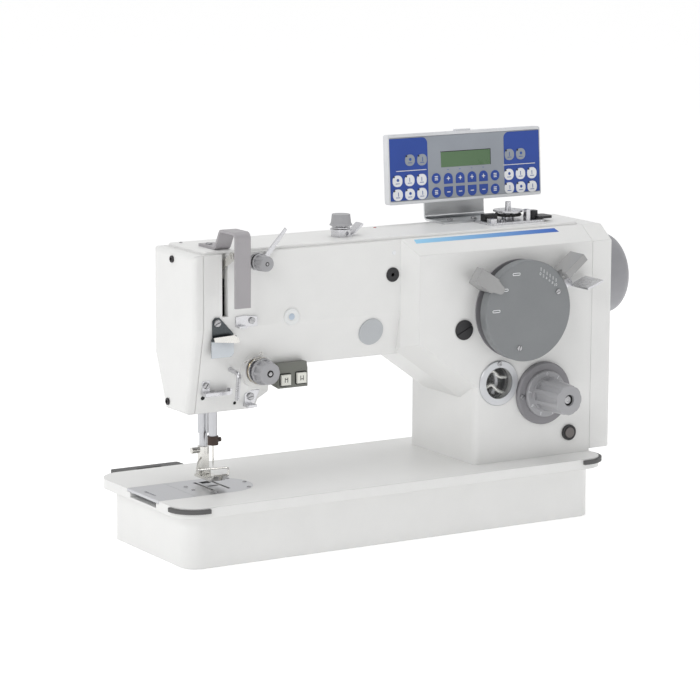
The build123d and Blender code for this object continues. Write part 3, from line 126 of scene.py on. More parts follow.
# ---- materials ----
def surface(name, colour, rough, metallic=0.0, grain=0.0014, depth=0.0, stretch=(1, 1, 1), mottle=0.06,
            patch=0.03, edge=0.0006, coat=0.0):
    """Paint, plastic or metal with fine grain, slow mottling and softened edges."""
    mat = bpy.data.materials.new(name)
    mat.use_nodes = True
    tree = mat.node_tree
    make = tree.nodes.new
    link = tree.links.new
    shader = tree.nodes["Principled BSDF"]
    shader.inputs["Metallic"].default_value = metallic
    shader.inputs["Coat Weight"].default_value = coat
    shader.inputs["Coat Roughness"].default_value = 0.12
    place = make("ShaderNodeTexCoord")
    turn = make("ShaderNodeMapping")
    turn.inputs["Scale"].default_value = stretch
    link(place.outputs["Object"], turn.inputs["Vector"])
    fine = make("ShaderNodeTexNoise")
    fine.inputs["Scale"].default_value = 1.0 / grain
    fine.inputs["Detail"].default_value = 3.0
    link(turn.outputs["Vector"], fine.inputs["Vector"])
    slow = make("ShaderNodeTexNoise")
    slow.inputs["Scale"].default_value = 1.0 / patch
    slow.inputs["Detail"].default_value = 4.0
    link(place.outputs["Object"], slow.inputs["Vector"])
    both = make("ShaderNodeMath")
    both.operation = "MULTIPLY_ADD"
    both.inputs[1].default_value = 0.35
    link(fine.outputs["Fac"], both.inputs[0])
    link(slow.outputs["Fac"], both.inputs[2])
    ramp = make("ShaderNodeValToRGB")
    dark = [c * (1 - mottle) for c in colour]
    light = [min(1.0, c * (1 + mottle * 0.5)) for c in colour]
    ramp.color_ramp.elements[0].position = 0.35
    ramp.color_ramp.elements[0].color = (*dark, 1)
    ramp.color_ramp.elements[1].position = 0.85
    ramp.color_ramp.elements[1].color = (*light, 1)
    link(both.outputs[0], ramp.inputs["Fac"])
    link(ramp.outputs["Color"], shader.inputs["Base Color"])
    gloss = make("ShaderNodeMapRange")
    gloss.inputs["From Min"].default_value = 0.3
    gloss.inputs["From Max"].default_value = 0.9
    gloss.inputs["To Min"].default_value = max(0.02, rough - 0.05)
    gloss.inputs["To Max"].default_value = rough + 0.05
    link(both.outputs[0], gloss.inputs["Value"])
    link(gloss.outputs["Result"], shader.inputs["Roughness"])
    soft = make("ShaderNodeBevel")
    soft.samples = 4
    soft.inputs["Radius"].default_value = edge
    bump = make("ShaderNodeBump")
    bump.inputs["Strength"].default_value = 1.0 if depth else 0.0
    bump.inputs["Distance"].default_value = depth
    link(fine.outputs["Fac"], bump.inputs["Height"])
    link(soft.outputs["Normal"], bump.inputs["Normal"])
    link(bump.outputs["Normal"], shader.inputs["Normal"])
    return mat


WHITE = (0.80, 0.80, 0.79)
LONG_X = (0.04, 1, 1)
LONG_Z = (1, 1, 0.04)
FINISH = {}


def finish(slot, *look, **more):
    """Files the look of one of the record's material slots under the slot's name."""
    FINISH[slot] = surface(slot, *look, **more)


finish("powder_coat_white", WHITE, 0.36, depth=0.000012, mottle=0.025, edge=0.0012)
finish("powder_coat_grey", (0.37, 0.355, 0.37), 0.38, depth=0.00001, edge=0.0008)
finish("disc_grey", (0.225, 0.235, 0.243), 0.42, depth=0.000008, edge=0.0008)
finish("handwheel_grey", (0.33, 0.33, 0.35), 0.4, depth=0.000008)
finish("polished_steel", (0.56, 0.565, 0.585), 0.30, 1.0, 0.0006, 0.000002, LONG_X,
       edge=0.0002, patch=0.012)
finish("zinc_plate", (0.66, 0.66, 0.68), 0.27, 1.0, 0.0012, 0.000003, patch=0.006, edge=0.0003)
finish("nickel", (0.70, 0.69, 0.66), 0.17, 1.0, 0.001, 0.0000015, patch=0.006, edge=0.0002)
finish("bronze", (0.52, 0.36, 0.17), 0.38, 1.0, 0.0004, 0.00001, patch=0.004, edge=0.0003)
finish("shaft_steel", (0.50, 0.50, 0.51), 0.28, 1.0, 0.0006, 0.000002, LONG_X, edge=0.0003)
finish("lever_grey", (0.35, 0.35, 0.35), 0.36, grain=0.0008, depth=0.00001, edge=0.0008)
finish("dial_dark", (0.25, 0.245, 0.26), 0.42, grain=0.0008, depth=0.00001, edge=0.0005)
finish("dial_grey", (0.37, 0.37, 0.385), 0.38, grain=0.0008, depth=0.00001, edge=0.0006)
finish("dark_plastic", (0.014, 0.014, 0.016), 0.35, grain=0.0007, depth=0.00001, edge=0.0005)
finish("keypad_grey", (0.17, 0.175, 0.155), 0.45, grain=0.0007, depth=0.00002, edge=0.0006)
finish("key_cream", (0.78, 0.78, 0.72), 0.33, grain=0.0009, depth=0.000006, edge=0.0008)
finish("housing_light_grey", (0.70, 0.71, 0.73), 0.42, grain=0.0009, depth=0.00002)
finish("black_rubber", (0.014, 0.014, 0.014), 0.62, grain=0.0006, depth=0.00003)
finish("grey_rubber", (0.10, 0.10, 0.10), 0.58, grain=0.0006, depth=0.00003, edge=0.001)
finish("belt_rubber", (0.02, 0.02, 0.02), 0.65, grain=0.0006, depth=0.00003)
finish("stator_steel", (0.28, 0.28, 0.29), 0.42, 1.0, 0.0007, 0.00004, (60, 0.1, 0.1))
finish("cast_alloy", (0.50, 0.50, 0.51), 0.46, 1.0, 0.0010, 0.00003, edge=0.0008)
finish("dark_brown_steel", (0.06, 0.042, 0.035), 0.32, 0.6, 0.0008, 0.000004, edge=0.0003)
finish("stainless", (0.56, 0.57, 0.58), 0.30, 1.0, 0.0005, 0.000003, LONG_Z, edge=0.0004)
BRIGHT_SCREW = surface("bright_screw", (0.44, 0.44, 0.45), 0.25, 1.0, 0.0006, 0.000002, patch=0.003,
                       edge=0.0002)
DARK_SCREW = surface("dark_screw", (0.045, 0.042, 0.045), 0.3, 0.7, 0.0006, 0.000002, patch=0.003,
                     edge=0.0002)
GUNMETAL = surface("gunmetal", (0.085, 0.095, 0.10), 0.28, 0.85, 0.0006, 0.000003, patch=0.004, edge=0.0003)
COVER_GREY = surface("cover_grey", (0.47, 0.49, 0.51), 0.35, depth=0.000008, edge=0.0006)
RING_SILVER = surface("ring_silver", (0.60, 0.61, 0.63), 0.33, 0.7, 0.0008, 0.000003, patch=0.01, edge=0.0004)
BUTTON_BROWN = surface("button_brown", (0.16, 0.145, 0.14), 0.4, grain=0.0006, depth=0.000006)
# black used as painted shade in holes, knob recesses and key grooves, round the pre-tension knob and behind
# the sight glass, and as the own colour of the black key lamps
SHADE_AND_BLACK = surface("painted_shade_and_black", (0.006, 0.006, 0.006), 0.6, grain=0.0005, depth=0.00001)
FILM_GREY = surface("film_grey", (0.31, 0.335, 0.375), 0.36, grain=0.0005, depth=0.000004)
FILM_BLUE = surface("film_blue", (0.016, 0.062, 0.34), 0.34, grain=0.0005, depth=0.000004)
PRINT_WHITE = surface("print_white", (0.82, 0.83, 0.85), 0.4, grain=0.0005, depth=0.000002)
# black for print, and for the painted shadow lines at the display window's edges
PRINT_BLACK_AND_SHADE = surface("print_black_and_painted_shade", (0.02, 0.02, 0.022), 0.4, grain=0.0005, depth=0.000002)
PRINT_BLUE = surface("print_blue", (0.03, 0.09, 0.36), 0.35, grain=0.0005, depth=0.000002, mottle=0.1)
LCD_GREEN = surface("lcd_green", (0.10, 0.185, 0.09), 0.3, grain=0.0007, depth=0.000002)
KEY_GREY = surface("key_grey", (0.30, 0.33, 0.37), 0.35, grain=0.0005, depth=0.000004)
PLATE_TINT = surface("tinted_plate", (0.60, 0.64, 0.68), 0.14, grain=0.002, depth=0.000002, coat=0.4)
SHELL_WHITE = surface("cap_white", (0.80, 0.81, 0.81), 0.32, grain=0.0008, depth=0.000004, edge=0.0005)
CAP_CENTRE = surface("cap_centre", (0.50, 0.58, 0.68), 0.32, grain=0.0008, depth=0.000004, edge=0.0003)
BRASS = surface("brass_ring", (0.62, 0.46, 0.18), 0.25, 1.0, 0.0006, 0.000002, patch=0.004, edge=0.0002)
RED = surface("signal_red", (0.45, 0.03, 0.03), 0.35, grain=0.0006, depth=0.000004)


def graded_band():
    """Blue print that runs from sky blue on the left to dark blue on the right."""
    mat = surface("blue_band", (0.05, 0.20, 0.60), 0.35, grain=0.0005, depth=0.000002)
    tree = mat.node_tree
    place = tree.nodes.new("ShaderNodeTexCoord")
    split = tree.nodes.new("ShaderNodeSeparateXYZ")
    share = tree.nodes.new("ShaderNodeMapRange")
    share.inputs["From Min"].default_value = 0.040
    share.inputs["From Max"].default_value = 0.206
    ramp = tree.nodes.new("ShaderNodeValToRGB")
    ramp.color_ramp.elements[0].color = (0.30, 0.62, 0.86, 1)
    ramp.color_ramp.elements[1].color = (0.02, 0.11, 0.50, 1)
    tree.links.new(place.outputs["Object"], split.inputs["Vector"])
    tree.links.new(split.outputs["X"], share.inputs["Value"])
    tree.links.new(share.outputs["Result"], ramp.inputs["Fac"])
    tree.links.new(ramp.outputs["Color"], tree.nodes["Principled BSDF"].inputs["Base Color"])
    return mat


BAND = graded_band()


def clear_glass():
    mat = surface("sight_glass", (0.93, 0.95, 0.95), 0.05, grain=0.003, depth=0.000001, mottle=0.02)
    shader = mat.node_tree.nodes["Principled BSDF"]
    shader.inputs["Transmission Weight"].default_value = 1.0
    shader.inputs["IOR"].default_value = 1.5
    shader.inputs["Alpha"].default_value = 0.35
    return mat


GLASS = clear_glass()
for entry in frame["record"]["subparts"]:
    for material_slot in NODES[entry["node"]].material_slots:
        material_slot.material = FINISH[entry["material_slot"]]
OWN_FINISH = (("upper_thread_guide", GUNMETAL), ("inspection_cover", COVER_GREY),
              ("push_button", BUTTON_BROWN), ("sight_glass_ring", RING_SILVER))
for node, own in OWN_FINISH:
    for material_slot in NODES[node].material_slots:
        material_slot.material = own


# ---- mesh helpers ----
def piece(name, mesh, material, body=HEAD, replaced=(), smooth=False):
    """Links a finished mesh as a piece that rides on a body."""
    obj = bpy.data.objects.new(name, mesh)
    bpy.context.scene.collection.objects.link(obj)
    if material:
        mesh.materials.clear()
        mesh.materials.append(material)
    if smooth:
        mesh.shade_smooth()
    if replaced:
        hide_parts(*replaced)
    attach(obj, body)
    return obj


def mesh_of(name, build):
    """Runs build on a new bmesh and returns it as a closed, outward-facing mesh."""
    form = bmesh.new()
    build(form)
    bmesh.ops.remove_doubles(form, verts=form.verts, dist=1e-7)
    bmesh.ops.recalc_face_normals(form, faces=form.faces)
    mesh = bpy.data.meshes.new(name)
    form.to_mesh(mesh)
    form.free()
    return mesh


def add_prism(form, outline, place, thickness):
    """Extrudes an outline drawn in local X and Z by thickness towards local -Y; place is a matrix."""
    count = len(outline)
    front = [form.verts.new(place @ Vector((x, -thickness, z))) for x, z in outline]
    back = [form.verts.new(place @ Vector((x, 0, z))) for x, z in outline]
    form.faces.new(front)
    form.faces.new(list(reversed(back)))
    for i in range(count):
        j = (i + 1) % count
        form.faces.new((front[i], front[j], back[j], back[i]))


def add_lathe(form, profile, place, steps=48):
    """Turns a profile of (radius, depth) points about local -Y; place is a matrix."""
    rings = []
    for radius, depth in profile:
        if radius < 1e-9:
            rings.append([form.verts.new(place @ Vector((0, -depth, 0)))])
            continue
        turn = [2 * math.pi * k / steps for k in range(steps)]
        rings.append([form.verts.new(place @ Vector((radius * math.cos(a), -depth, radius * math.sin(a))))
                      for a in turn])
    for first, second in zip(rings, rings[1:]):
        for k in range(steps):
            n = (k + 1) % steps
            corners = [ring[i % len(ring)] for ring, i in ((first, k), (first, n), (second, n), (second, k))]
            unique = []
            for vert in corners:
                if vert not in unique:
                    unique.append(vert)
            if len(unique) > 2:
                form.faces.new(unique)


def add_tube(form, points, radius, sides=12):
    """Round wire through points, closed at both ends."""
    spots = [Vector(p) for p in points]
    rings = []
    normal = None
    for i, spot in enumerate(spots):
        ahead = spots[min(i + 1, len(spots) - 1)] - spots[max(i - 1, 0)]
        ahead.normalize()
        if normal is None:
            normal = ahead.orthogonal().normalized()
        else:
            normal = (normal - ahead * normal.dot(ahead)).normalized()
        side = ahead.cross(normal)
        ring = []
        for k in range(sides):
            a = 2 * math.pi * k / sides
            ring.append(form.verts.new(spot + (normal * math.cos(a) + side * math.sin(a)) * radius))
        rings.append(ring)
    for first, second in zip(rings, rings[1:]):
        for k in range(sides):
            n = (k + 1) % sides
            form.faces.new((first[k], first[n], second[n], second[k]))
    form.faces.new(rings[0])
    form.faces.new(list(reversed(rings[-1])))


def smooth_path(points, per=6):
    """Catmull-Rom points through a few given ones."""
    spots = [Vector(p) for p in points]
    spots = [spots[0] * 2 - spots[1]] + spots + [spots[-1] * 2 - spots[-2]]
    path = []
    for a, b, c, d in zip(spots, spots[1:], spots[2:], spots[3:]):
        for k in range(per):
            t = k / per
            path.append(0.5 * (2 * b + (c - a) * t + (2 * a - 5 * b + 4 * c - d) * t * t
                               + (3 * b - a - 3 * c + d) * t ** 3))
    path.append(spots[-2])
    return path


def rounded(width, height, radius, steps=5):
    """Outline of a rounded rectangle centred on the origin."""
    points = []
    for cx, cz, start in ((1, 1, 0), (-1, 1, 90), (-1, -1, 180), (1, -1, 270)):
        for k in range(steps + 1):
            a = math.radians(start + 90 * k / steps)
            points.append((cx * (width / 2 - radius) + radius * math.cos(a),
                           cz * (height / 2 - radius) + radius * math.sin(a)))
    return points


def circle(radius, steps=32):
    return [(radius * math.cos(2 * math.pi * k / steps), radius * math.sin(2 * math.pi * k / steps))
            for k in range(steps)]


def facing(place, direction):
    """Matrix that puts a local -Y face at place, looking along direction."""
    turn = Vector(direction).to_track_quat("Y", "Z").to_matrix() @ Matrix.Rotation(math.pi, 3, "Z")
    return Matrix.Translation(place) @ turn.to_4x4()


FRONT = (0, -1, 0)


def flat_piece(name, outlines, place, thickness, material, body=HEAD):
    """Flat plates or prints, each an outline and its centre, on one plane."""
    def build(form):
        for outline, (x, z) in outlines:
            add_prism(form, [((px + x) * MM, (pz + z) * MM) for px, pz in outline], place, thickness * MM)
    return piece(name, mesh_of(name, build), material, body)


def lettering(name, text, size, place):
    """Generic numerals as a thin closed mesh; place maps local X-Z, facing -Y."""
    curve = bpy.data.curves.new(name, "FONT")
    curve.body = text
    curve.size = size * MM
    curve.align_x = "CENTER"
    curve.align_y = "CENTER"
    curve.extrude = 0.04 * MM
    holder = bpy.data.objects.new(name + "_curve", curve)
    bpy.context.scene.collection.objects.link(holder)
    bpy.context.view_layer.update()
    mesh = bpy.data.meshes.new_from_object(holder.evaluated_get(bpy.context.evaluated_depsgraph_get()))
    bpy.data.objects.remove(holder)
    mesh.transform(place @ Matrix.Rotation(math.pi / 2, 4, "X"))
    return mesh


def join_meshes(name, meshes):
    form = bmesh.new()
    for mesh in meshes:
        form.from_mesh(mesh)
    bmesh.ops.remove_doubles(form, verts=form.verts, dist=1e-7)
    joined = bpy.data.meshes.new(name)
    form.to_mesh(joined)
    form.free()
    return joined


# ---- geometry nodes: one shape set on many spots ----
def scatter_tree():
    """Sets Shape on each point, aimed along the point's aim, turned by turn and sized by size."""
    tree = bpy.data.node_groups.new("set_out", "GeometryNodeTree")
    side = tree.interface
    side.new_socket("Geometry", in_out="INPUT", socket_type="NodeSocketGeometry")
    side.new_socket("Shape", in_out="INPUT", socket_type="NodeSocketObject")
    side.new_socket("Overall Size", in_out="INPUT", socket_type="NodeSocketFloat")
    side.new_socket("Finish", in_out="INPUT", socket_type="NodeSocketMaterial")
    side.new_socket("Geometry", in_out="OUTPUT", socket_type="NodeSocketGeometry")
    make = tree.nodes.new
    link = tree.links.new
    given = make("NodeGroupInput")
    result = make("NodeGroupOutput")
    shape = make("GeometryNodeObjectInfo")
    link(given.outputs["Shape"], shape.inputs["Object"])

    def spot_value(name, kind):
        node = make("GeometryNodeInputNamedAttribute")
        node.data_type = kind
        node.inputs["Name"].default_value = name
        return node.outputs["Attribute"]

    spin = make("FunctionNodeAlignRotationToVector")
    spin.axis = "Z"
    link(spot_value("aim", "FLOAT_VECTOR"), spin.inputs["Vector"])
    twist = make("FunctionNodeRotateRotation")
    twist.rotation_space = "LOCAL"
    angle = make("FunctionNodeAxisAngleToRotation")
    angle.inputs["Axis"].default_value = (0, 0, 1)
    link(spot_value("turn", "FLOAT"), angle.inputs["Angle"])
    link(spin.outputs[0], twist.inputs["Rotation"])
    link(angle.outputs[0], twist.inputs["Rotate By"])
    grow = make("ShaderNodeVectorMath")
    grow.operation = "SCALE"
    link(spot_value("size", "FLOAT_VECTOR"), grow.inputs[0])
    link(given.outputs["Overall Size"], grow.inputs["Scale"])
    put = make("GeometryNodeInstanceOnPoints")
    link(given.outputs["Geometry"], put.inputs["Points"])
    link(shape.outputs["Geometry"], put.inputs["Instance"])
    link(twist.outputs[0], put.inputs["Rotation"])
    link(grow.outputs[0], put.inputs["Scale"])
    real = make("GeometryNodeRealizeInstances")
    paint = make("GeometryNodeSetMaterial")
    link(put.outputs[0], real.inputs[0])
    link(real.outputs[0], paint.inputs["Geometry"])
    link(given.outputs["Finish"], paint.inputs["Material"])
    link(paint.outputs[0], result.inputs[0])
    return tree


SET_OUT = scatter_tree()


def set_out(name, shape_mesh, spots, material, body=HEAD, replaced=(), smooth=False):
    """Makes one piece of a shape repeated on spots of (place, aim, turn in degrees, size in mm)."""
    base = bpy.data.meshes.new(name + "_spots")
    base.from_pydata([Vector(s[0]) for s in spots], [], [])
    for label, kind, values in (("aim", "FLOAT_VECTOR", [v for s in spots for v in s[1]]),
                                ("size", "FLOAT_VECTOR", [v * MM for s in spots for v in s[3]])):
        base.attributes.new(label, kind, "POINT").data.foreach_set("vector", values)
    turns = [math.radians(s[2]) for s in spots]
    base.attributes.new("turn", "FLOAT", "POINT").data.foreach_set("value", turns)
    holder = bpy.data.objects.new(name + "_spots", base)
    shape = bpy.data.objects.new(name + "_shape", shape_mesh)
    bpy.context.scene.collection.objects.link(holder)
    bpy.context.scene.collection.objects.link(shape)
    nodes = holder.modifiers.new("set_out", "NODES")
    nodes.node_group = SET_OUT
    values = {"Shape": shape, "Overall Size": 1.0, "Finish": material}
    for item in SET_OUT.interface.items_tree:
        if item.in_out == "INPUT" and item.name in values:
            nodes[item.identifier] = values[item.name]
    bpy.context.view_layer.update()
    mesh = bpy.data.meshes.new_from_object(holder.evaluated_get(bpy.context.evaluated_depsgraph_get()))
    holder.modifiers.remove(nodes)
    bpy.data.objects.remove(holder)
    bpy.data.objects.remove(shape)
    return piece(name, mesh, None, body, replaced, smooth)


# ---- screw heads ----
def screw_shape(kind):
    """Unit screw head, radius 1, standing 0.5 along +Z, with a slot or a socket."""
    def build(form):
        lie = Matrix.Rotation(-math.pi / 2, 4, "X")
        rim = [(0, -0.2), (0.98, -0.2), (1.0, 0.0), (1.0, 0.34), (0.95, 0.43), (0.84, 0.5)]
        if kind == "socket":
            add_lathe(form, rim + [(0.56, 0.5), (0.5, 0.46), (0.5, 0.16), (0, 0.1)], lie, 24)
        else:
            add_lathe(form, rim + [(0, 0.53)], lie, 24)
    mesh = mesh_of("screw_" + kind, build)
    if kind == "socket":
        return mesh
    cutter = bpy.data.objects.new("slot_cutter", mesh_of("slot_cutter", lambda form: add_prism(
        form, [(-1.3, 0.24), (1.3, 0.24), (1.3, 0.9), (-1.3, 0.9)], Matrix.Translation((0, 0.13, 0)), 0.26)))
    holder = bpy.data.objects.new("slotted", mesh)
    for obj in (cutter, holder):
        bpy.context.scene.collection.objects.link(obj)
    cut = holder.modifiers.new("slot", "BOOLEAN")
    cut.object = cutter
    cut.solver = "EXACT"
    bpy.context.view_layer.update()
    slotted = bpy.data.meshes.new_from_object(holder.evaluated_get(bpy.context.evaluated_depsgraph_get()))
    bpy.data.objects.remove(holder)
    bpy.data.objects.remove(cutter)
    return slotted


LEFT = (-1, 0, 0)
RIGHT = (1, 0, 0)
UP = (0, 0, 1)
BACK = (0, 1, 0)


def node_mm(name):
    low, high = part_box(name)
    return [v / MM for v in low], [v / MM for v in high]


face_x = node_mm("face_cover")[0][0]
disc_low = node_mm("disc_cover")[0]
flange_low = node_mm("dial_flange")[0]
ring_low = node_mm("sight_glass_ring")[0]
lid_top = node_mm("top_lid")[1][2]
end_x = node_mm("end_cover")[1][0]
rear_low, rear_high = node_mm("rear_cover")
head_front = -38.0
column_front = -57.0
bend_front = 155.0
SLANT = 18.0 / 82.0
MAIN_TENSION = (-127.5, 111.5)
FIRST_TENSION = (-132.0, 215.5)
SIGHT = (127.5, 79.0)
DIAL = (179.2, 64.6)
WHITE_CAP = (-94.6, 160.4)
WINDER = (178.2, 5.0)


def slant_y(z):
    return head_front + (bend_front - z) * SLANT


def head_spot(x, y, z, aim, radius, turn=30.0):
    return (at(x, y, z), aim, turn, (radius, radius, radius))


slotted = [
    head_spot(disc_low[0] + 83.6, disc_low[1], 167.9, FRONT, 2.8, 20),
    head_spot(137.5, disc_low[1], 115.9, FRONT, 2.8, 70),
    head_spot(152.6, flange_low[1], 63.6, FRONT, 2.8, 40),
    head_spot(205.8, flange_low[1], 65.6, FRONT, 2.8, -30),
    head_spot(-174.8, head_front - 1.4, 160.9, FRONT, 3.6, 25),
    head_spot(-138.2, head_front - 1.4, 160.6, FRONT, 3.2, -35),
    head_spot(-180.0, slant_y(100) - 1.5, 100.5, FRONT, 3.2, 55),
    head_spot(-131.0, slant_y(85) - 1.4, 85.3, FRONT, 3.6, 10),
    head_spot(-166, -8, lid_top + 2.6, UP, 3.2, 15),
    head_spot(161, -11, lid_top + 2.5, UP, 2.6, 80),
    head_spot(200, 6, lid_top + 2.5, UP, 2.6, 40),
]
socket = [
    head_spot(127.5, ring_low[1], 98.2, FRONT, 2.4),
    head_spot(122.2, 24, lid_top + 2.0, UP, 3.0),
    head_spot(150.2, 24, lid_top + 2.0, UP, 3.0),
    head_spot(-176, 29, lid_top, UP, 1.6),
    head_spot(227, 29, lid_top, UP, 1.6),
]
for x in (rear_low[0] + 6, rear_high[0] - 6):
    for z in (rear_low[2] + 6, rear_high[2] - 6):
        socket.append(head_spot(x, rear_high[1], z, BACK, 3.0))
for y in (-43, 46):
    for z in (20, 195):
        socket.append(head_spot(end_x, y, z, RIGHT, 3.2))

set_out("slotted_screws", screw_shape("slotted"), slotted, BRIGHT_SCREW)
set_out("socket_screws", screw_shape("socket"), socket, BRIGHT_SCREW, replaced=("screws",))
cover_screws = [head_spot(face_x, 3.7, 217.2, LEFT, 3.4), head_spot(face_x, 13.5, 80.7, LEFT, 3.4)]
set_out("cover_screws", screw_shape("socket"), cover_screws, DARK_SCREW)
PLATE_SCREWS = ((-188, -1), (-188, -16), (-174, -36), (-129, -9), (-136, 12), (-136, -30))
plate_screws = [head_spot(x, y, -0.42, UP, 2.0, 37 * i) for i, (x, y) in enumerate(PLATE_SCREWS)]
set_out("plate_screws", screw_shape("slotted"), plate_screws, BRIGHT_SCREW)


# ---- operating panel ----
PANEL_X = sum(node_mm("panel_housing")[i][0] for i in (0, 1)) / 2
PANEL = Matrix.Translation(at(PANEL_X, 22.0, 248.7)) @ Matrix.Rotation(math.radians(-4), 4, "X")
FILM_X = -1.9
FILM_Y = 0.8


def film(name, outlines, material, lift, thickness=0.12):
    """Printed shapes on the panel's film, raised from its recess by lift."""
    place = PANEL @ Matrix.Translation(at(FILM_X, FILM_Y - lift, 0))
    return flat_piece(name, outlines, place, thickness, material)


def arch(width, height, up):
    """Key outline with one round end, at the top when up is 1 and at the bottom when it is -1."""
    half = width / 2
    points = []
    for k in range(11):
        a = math.radians(18 * k)
        points.append((half * math.cos(a), up * (height / 2 - half + half * math.sin(a))))
    points += [(-half, -up * height / 2), (half, -up * height / 2)]
    return points if up > 0 else list(reversed(points))


def inner_rounded(x0, x1, z0, z1, radius, side):
    """Rectangle from x0 to x1 and z0 to z1 with both corners on one side rounded."""
    edge = x1 if side > 0 else x0
    points = []
    for z, up in ((z1, 1), (z0, -1)):
        for k in range(7):
            a = math.radians(15 * k) if up > 0 else math.radians(90 - 15 * k)
            points.append((edge - side * radius + side * radius * math.sin(a),
                           z - up * radius + up * radius * math.cos(a)))
    flat = x0 if side > 0 else x1
    points += [(flat, z0), (flat, z1)]
    return points


WHITE_KEYS = [(x, z) for x in (-77.8, -63.8, -49.8) for z in (23.2, 9.6)]
WHITE_KEYS += [(x, z) for x in (53.0, 66.8, 80.5) for z in (22.2, 8.7)]
GREY_KEYS = [(-62.9, 42.9), (-48.9, 42.6), (54.0, 41.9), (67.5, 41.9)]
ROUND_KEYS = [(-32.9, 23.3), (36.4, 22.3), (-33.1, 9.5), (36.2, 8.9)]
PLUS_KEYS = [(x, 22.6) for x in (-18.8, -4.9, 9.0, 22.6)]
MINUS_KEYS = [(x, 9.2) for x in (-18.8, -4.9, 9.0, 22.6)]
ORIGIN = (0, 0)

film("panel_film", [(rounded(176.0, 62.0, 1.5), (1.9, 34.25))], FILM_GREY, 0.0, 0.5)
film("panel_blue_zones", [(inner_rounded(-86.0, -42.2, 3.9, 64.5, 6, 1), ORIGIN),
                          (inner_rounded(47.6, 89.8, 3.9, 64.5, 6, -1), ORIGIN)], FILM_BLUE, 0.5)
film("display_window", [(rounded(58.0, 15.0, 0.5), (2.2, 41.2))], LCD_GREEN, 0.5)
# thin black lines along the display window's top and right edges: painted shadow of the window's edge
film("display_shade", [(rounded(59.2, 0.6, 0.1), (2.2, 49.0)), (rounded(0.7, 15.4, 0.1), (31.5, 41.2))],
     PRINT_BLACK_AND_SHADE, 0.5)
film("white_film_keys", [(rounded(11.2, 11.2, 4.9), spot) for spot in WHITE_KEYS], PRINT_WHITE, 0.62, 0.3)
film("grey_film_keys", [(rounded(11.2, 11.2, 4.9), spot) for spot in GREY_KEYS], KEY_GREY, 0.62, 0.3)
blue_keys = [(circle(5.2), spot) for spot in ROUND_KEYS]
blue_keys += [(arch(10.2, 10.6, 1), spot) for spot in PLUS_KEYS]
blue_keys += [(arch(10.2, 10.6, -1), spot) for spot in MINUS_KEYS]
film("blue_film_keys", blue_keys, FILM_BLUE, 0.5, 0.3)
signs = [(rounded(3.8, 0.9, 0.2), spot) for spot in PLUS_KEYS + MINUS_KEYS]
signs += [(rounded(0.9, 1.5, 0.2), (x, z + side * 1.25)) for x, z in PLUS_KEYS for side in (-1, 1)]
signs += [(rounded(3.6, 0.9, 0.2), (x, z + lift)) for x, z in ROUND_KEYS for lift in (-1.4, 0.2, 1.8)]
signs += [(rounded(35.0, 0.7, 0.2), (-61.5, 32.8)), (rounded(38.0, 0.7, 0.2), (65.6, 31.8))]
film("key_signs", signs, PRINT_WHITE, 0.82, 0.06)
marks = []
for index, (x, z) in enumerate(WHITE_KEYS + GREY_KEYS):
    marks.append((rounded(4.6, 0.6, 0.1), (x, z - 2.6)))
    if index % 3:
        marks.append((rounded(0.7, 4.0, 0.2), (x + 0.6 * (index % 2), z + 0.6)))
    else:
        marks.append((circle(1.5, 16), (x + 0.4, z + 0.8)))
film("key_symbols", marks, PRINT_BLUE, 0.94, 0.06)
film("key_lamps", [(circle(0.95, 16), (x - 3.9, z + 4.1)) for x, z in WHITE_KEYS + GREY_KEYS],
     PRINT_BLACK_AND_SHADE, 0.94, 0.12)
film("key_letters", [(rounded(1.6, 0.5, 0.1), (x, 31.2)) for x, z in PLUS_KEYS], PRINT_BLUE, 0.5, 0.06)


# ---- disc marks and dial numbers ----
def plane_at(x, y, z, turn=0.0):
    return Matrix.Translation(at(x, y, z)) @ Matrix.Rotation(math.radians(turn), 4, "Y")


def ring_outline(form, outer, inner, place, thickness):
    """Thin frame between two outlines with the same number of points, extruded towards local -Y."""
    count = len(outer)
    loops = []
    for outline, y in ((outer, -thickness), (inner, -thickness), (inner, 0), (outer, 0)):
        loops.append([form.verts.new(place @ Vector((x * MM, y * MM, z * MM))) for x, z in outline])
    for first, second in zip(loops, loops[1:] + loops[:1]):
        for i in range(count):
            j = (i + 1) % count
            form.faces.new((first[i], first[j], second[j], second[i]))


def frames(name, items, thickness, material, body=HEAD):
    """Printed or moulded outlines, each (place, width, height, radius, line)."""
    def build(form):
        for place, width, height, radius, line in items:
            inner = rounded(width - 2 * line, height - 2 * line, max(radius - line, 0.05))
            ring_outline(form, rounded(width, height, radius), inner, place, thickness)
    return piece(name, mesh_of(name, build), material, body)


disc_y = disc_low[1]
DISC_WINDOWS = ((133.2, 188.4), (119.5, 173.8), (110.4, 153.9))
frames("disc_windows", [(plane_at(x, disc_y, z), 9.0, 2.8, 1.3, 0.7) for x, z in DISC_WINDOWS],
       0.05, PRINT_WHITE)
SCALE_START = (161.7, 191.4)
SCALE_END = (179.6, 179.2)


def on_scale(share, drop):
    x = SCALE_START[0] + (SCALE_END[0] - SCALE_START[0]) * share
    z = SCALE_START[1] + (SCALE_END[1] - SCALE_START[1]) * share - drop
    return x, z


ticks = [(rounded(0.55, 3.4, 0.15), on_scale(k / 5, 0)) for k in range(6)]
flat_piece("disc_ticks", ticks, Matrix.Translation(at(0, disc_y, 0)), 0.05, PRINT_WHITE)
numbers = []
for k in range(6):
    number_x, number_z = on_scale(k / 5, 4.6)
    numbers.append(lettering("n%d" % k, str(2 * k), 3.9, plane_at(number_x - 0.6, disc_y, number_z)))
piece("disc_numbers", join_meshes("disc_numbers", numbers), PRINT_WHITE)

plate_y = flange_low[1] - 0.3 - 3.6


def dial_place(angle, radius):
    a = math.radians(angle)
    return plane_at(DIAL[0] + radius * math.cos(a), plate_y, DIAL[1] + radius * math.sin(a), 90 - angle)


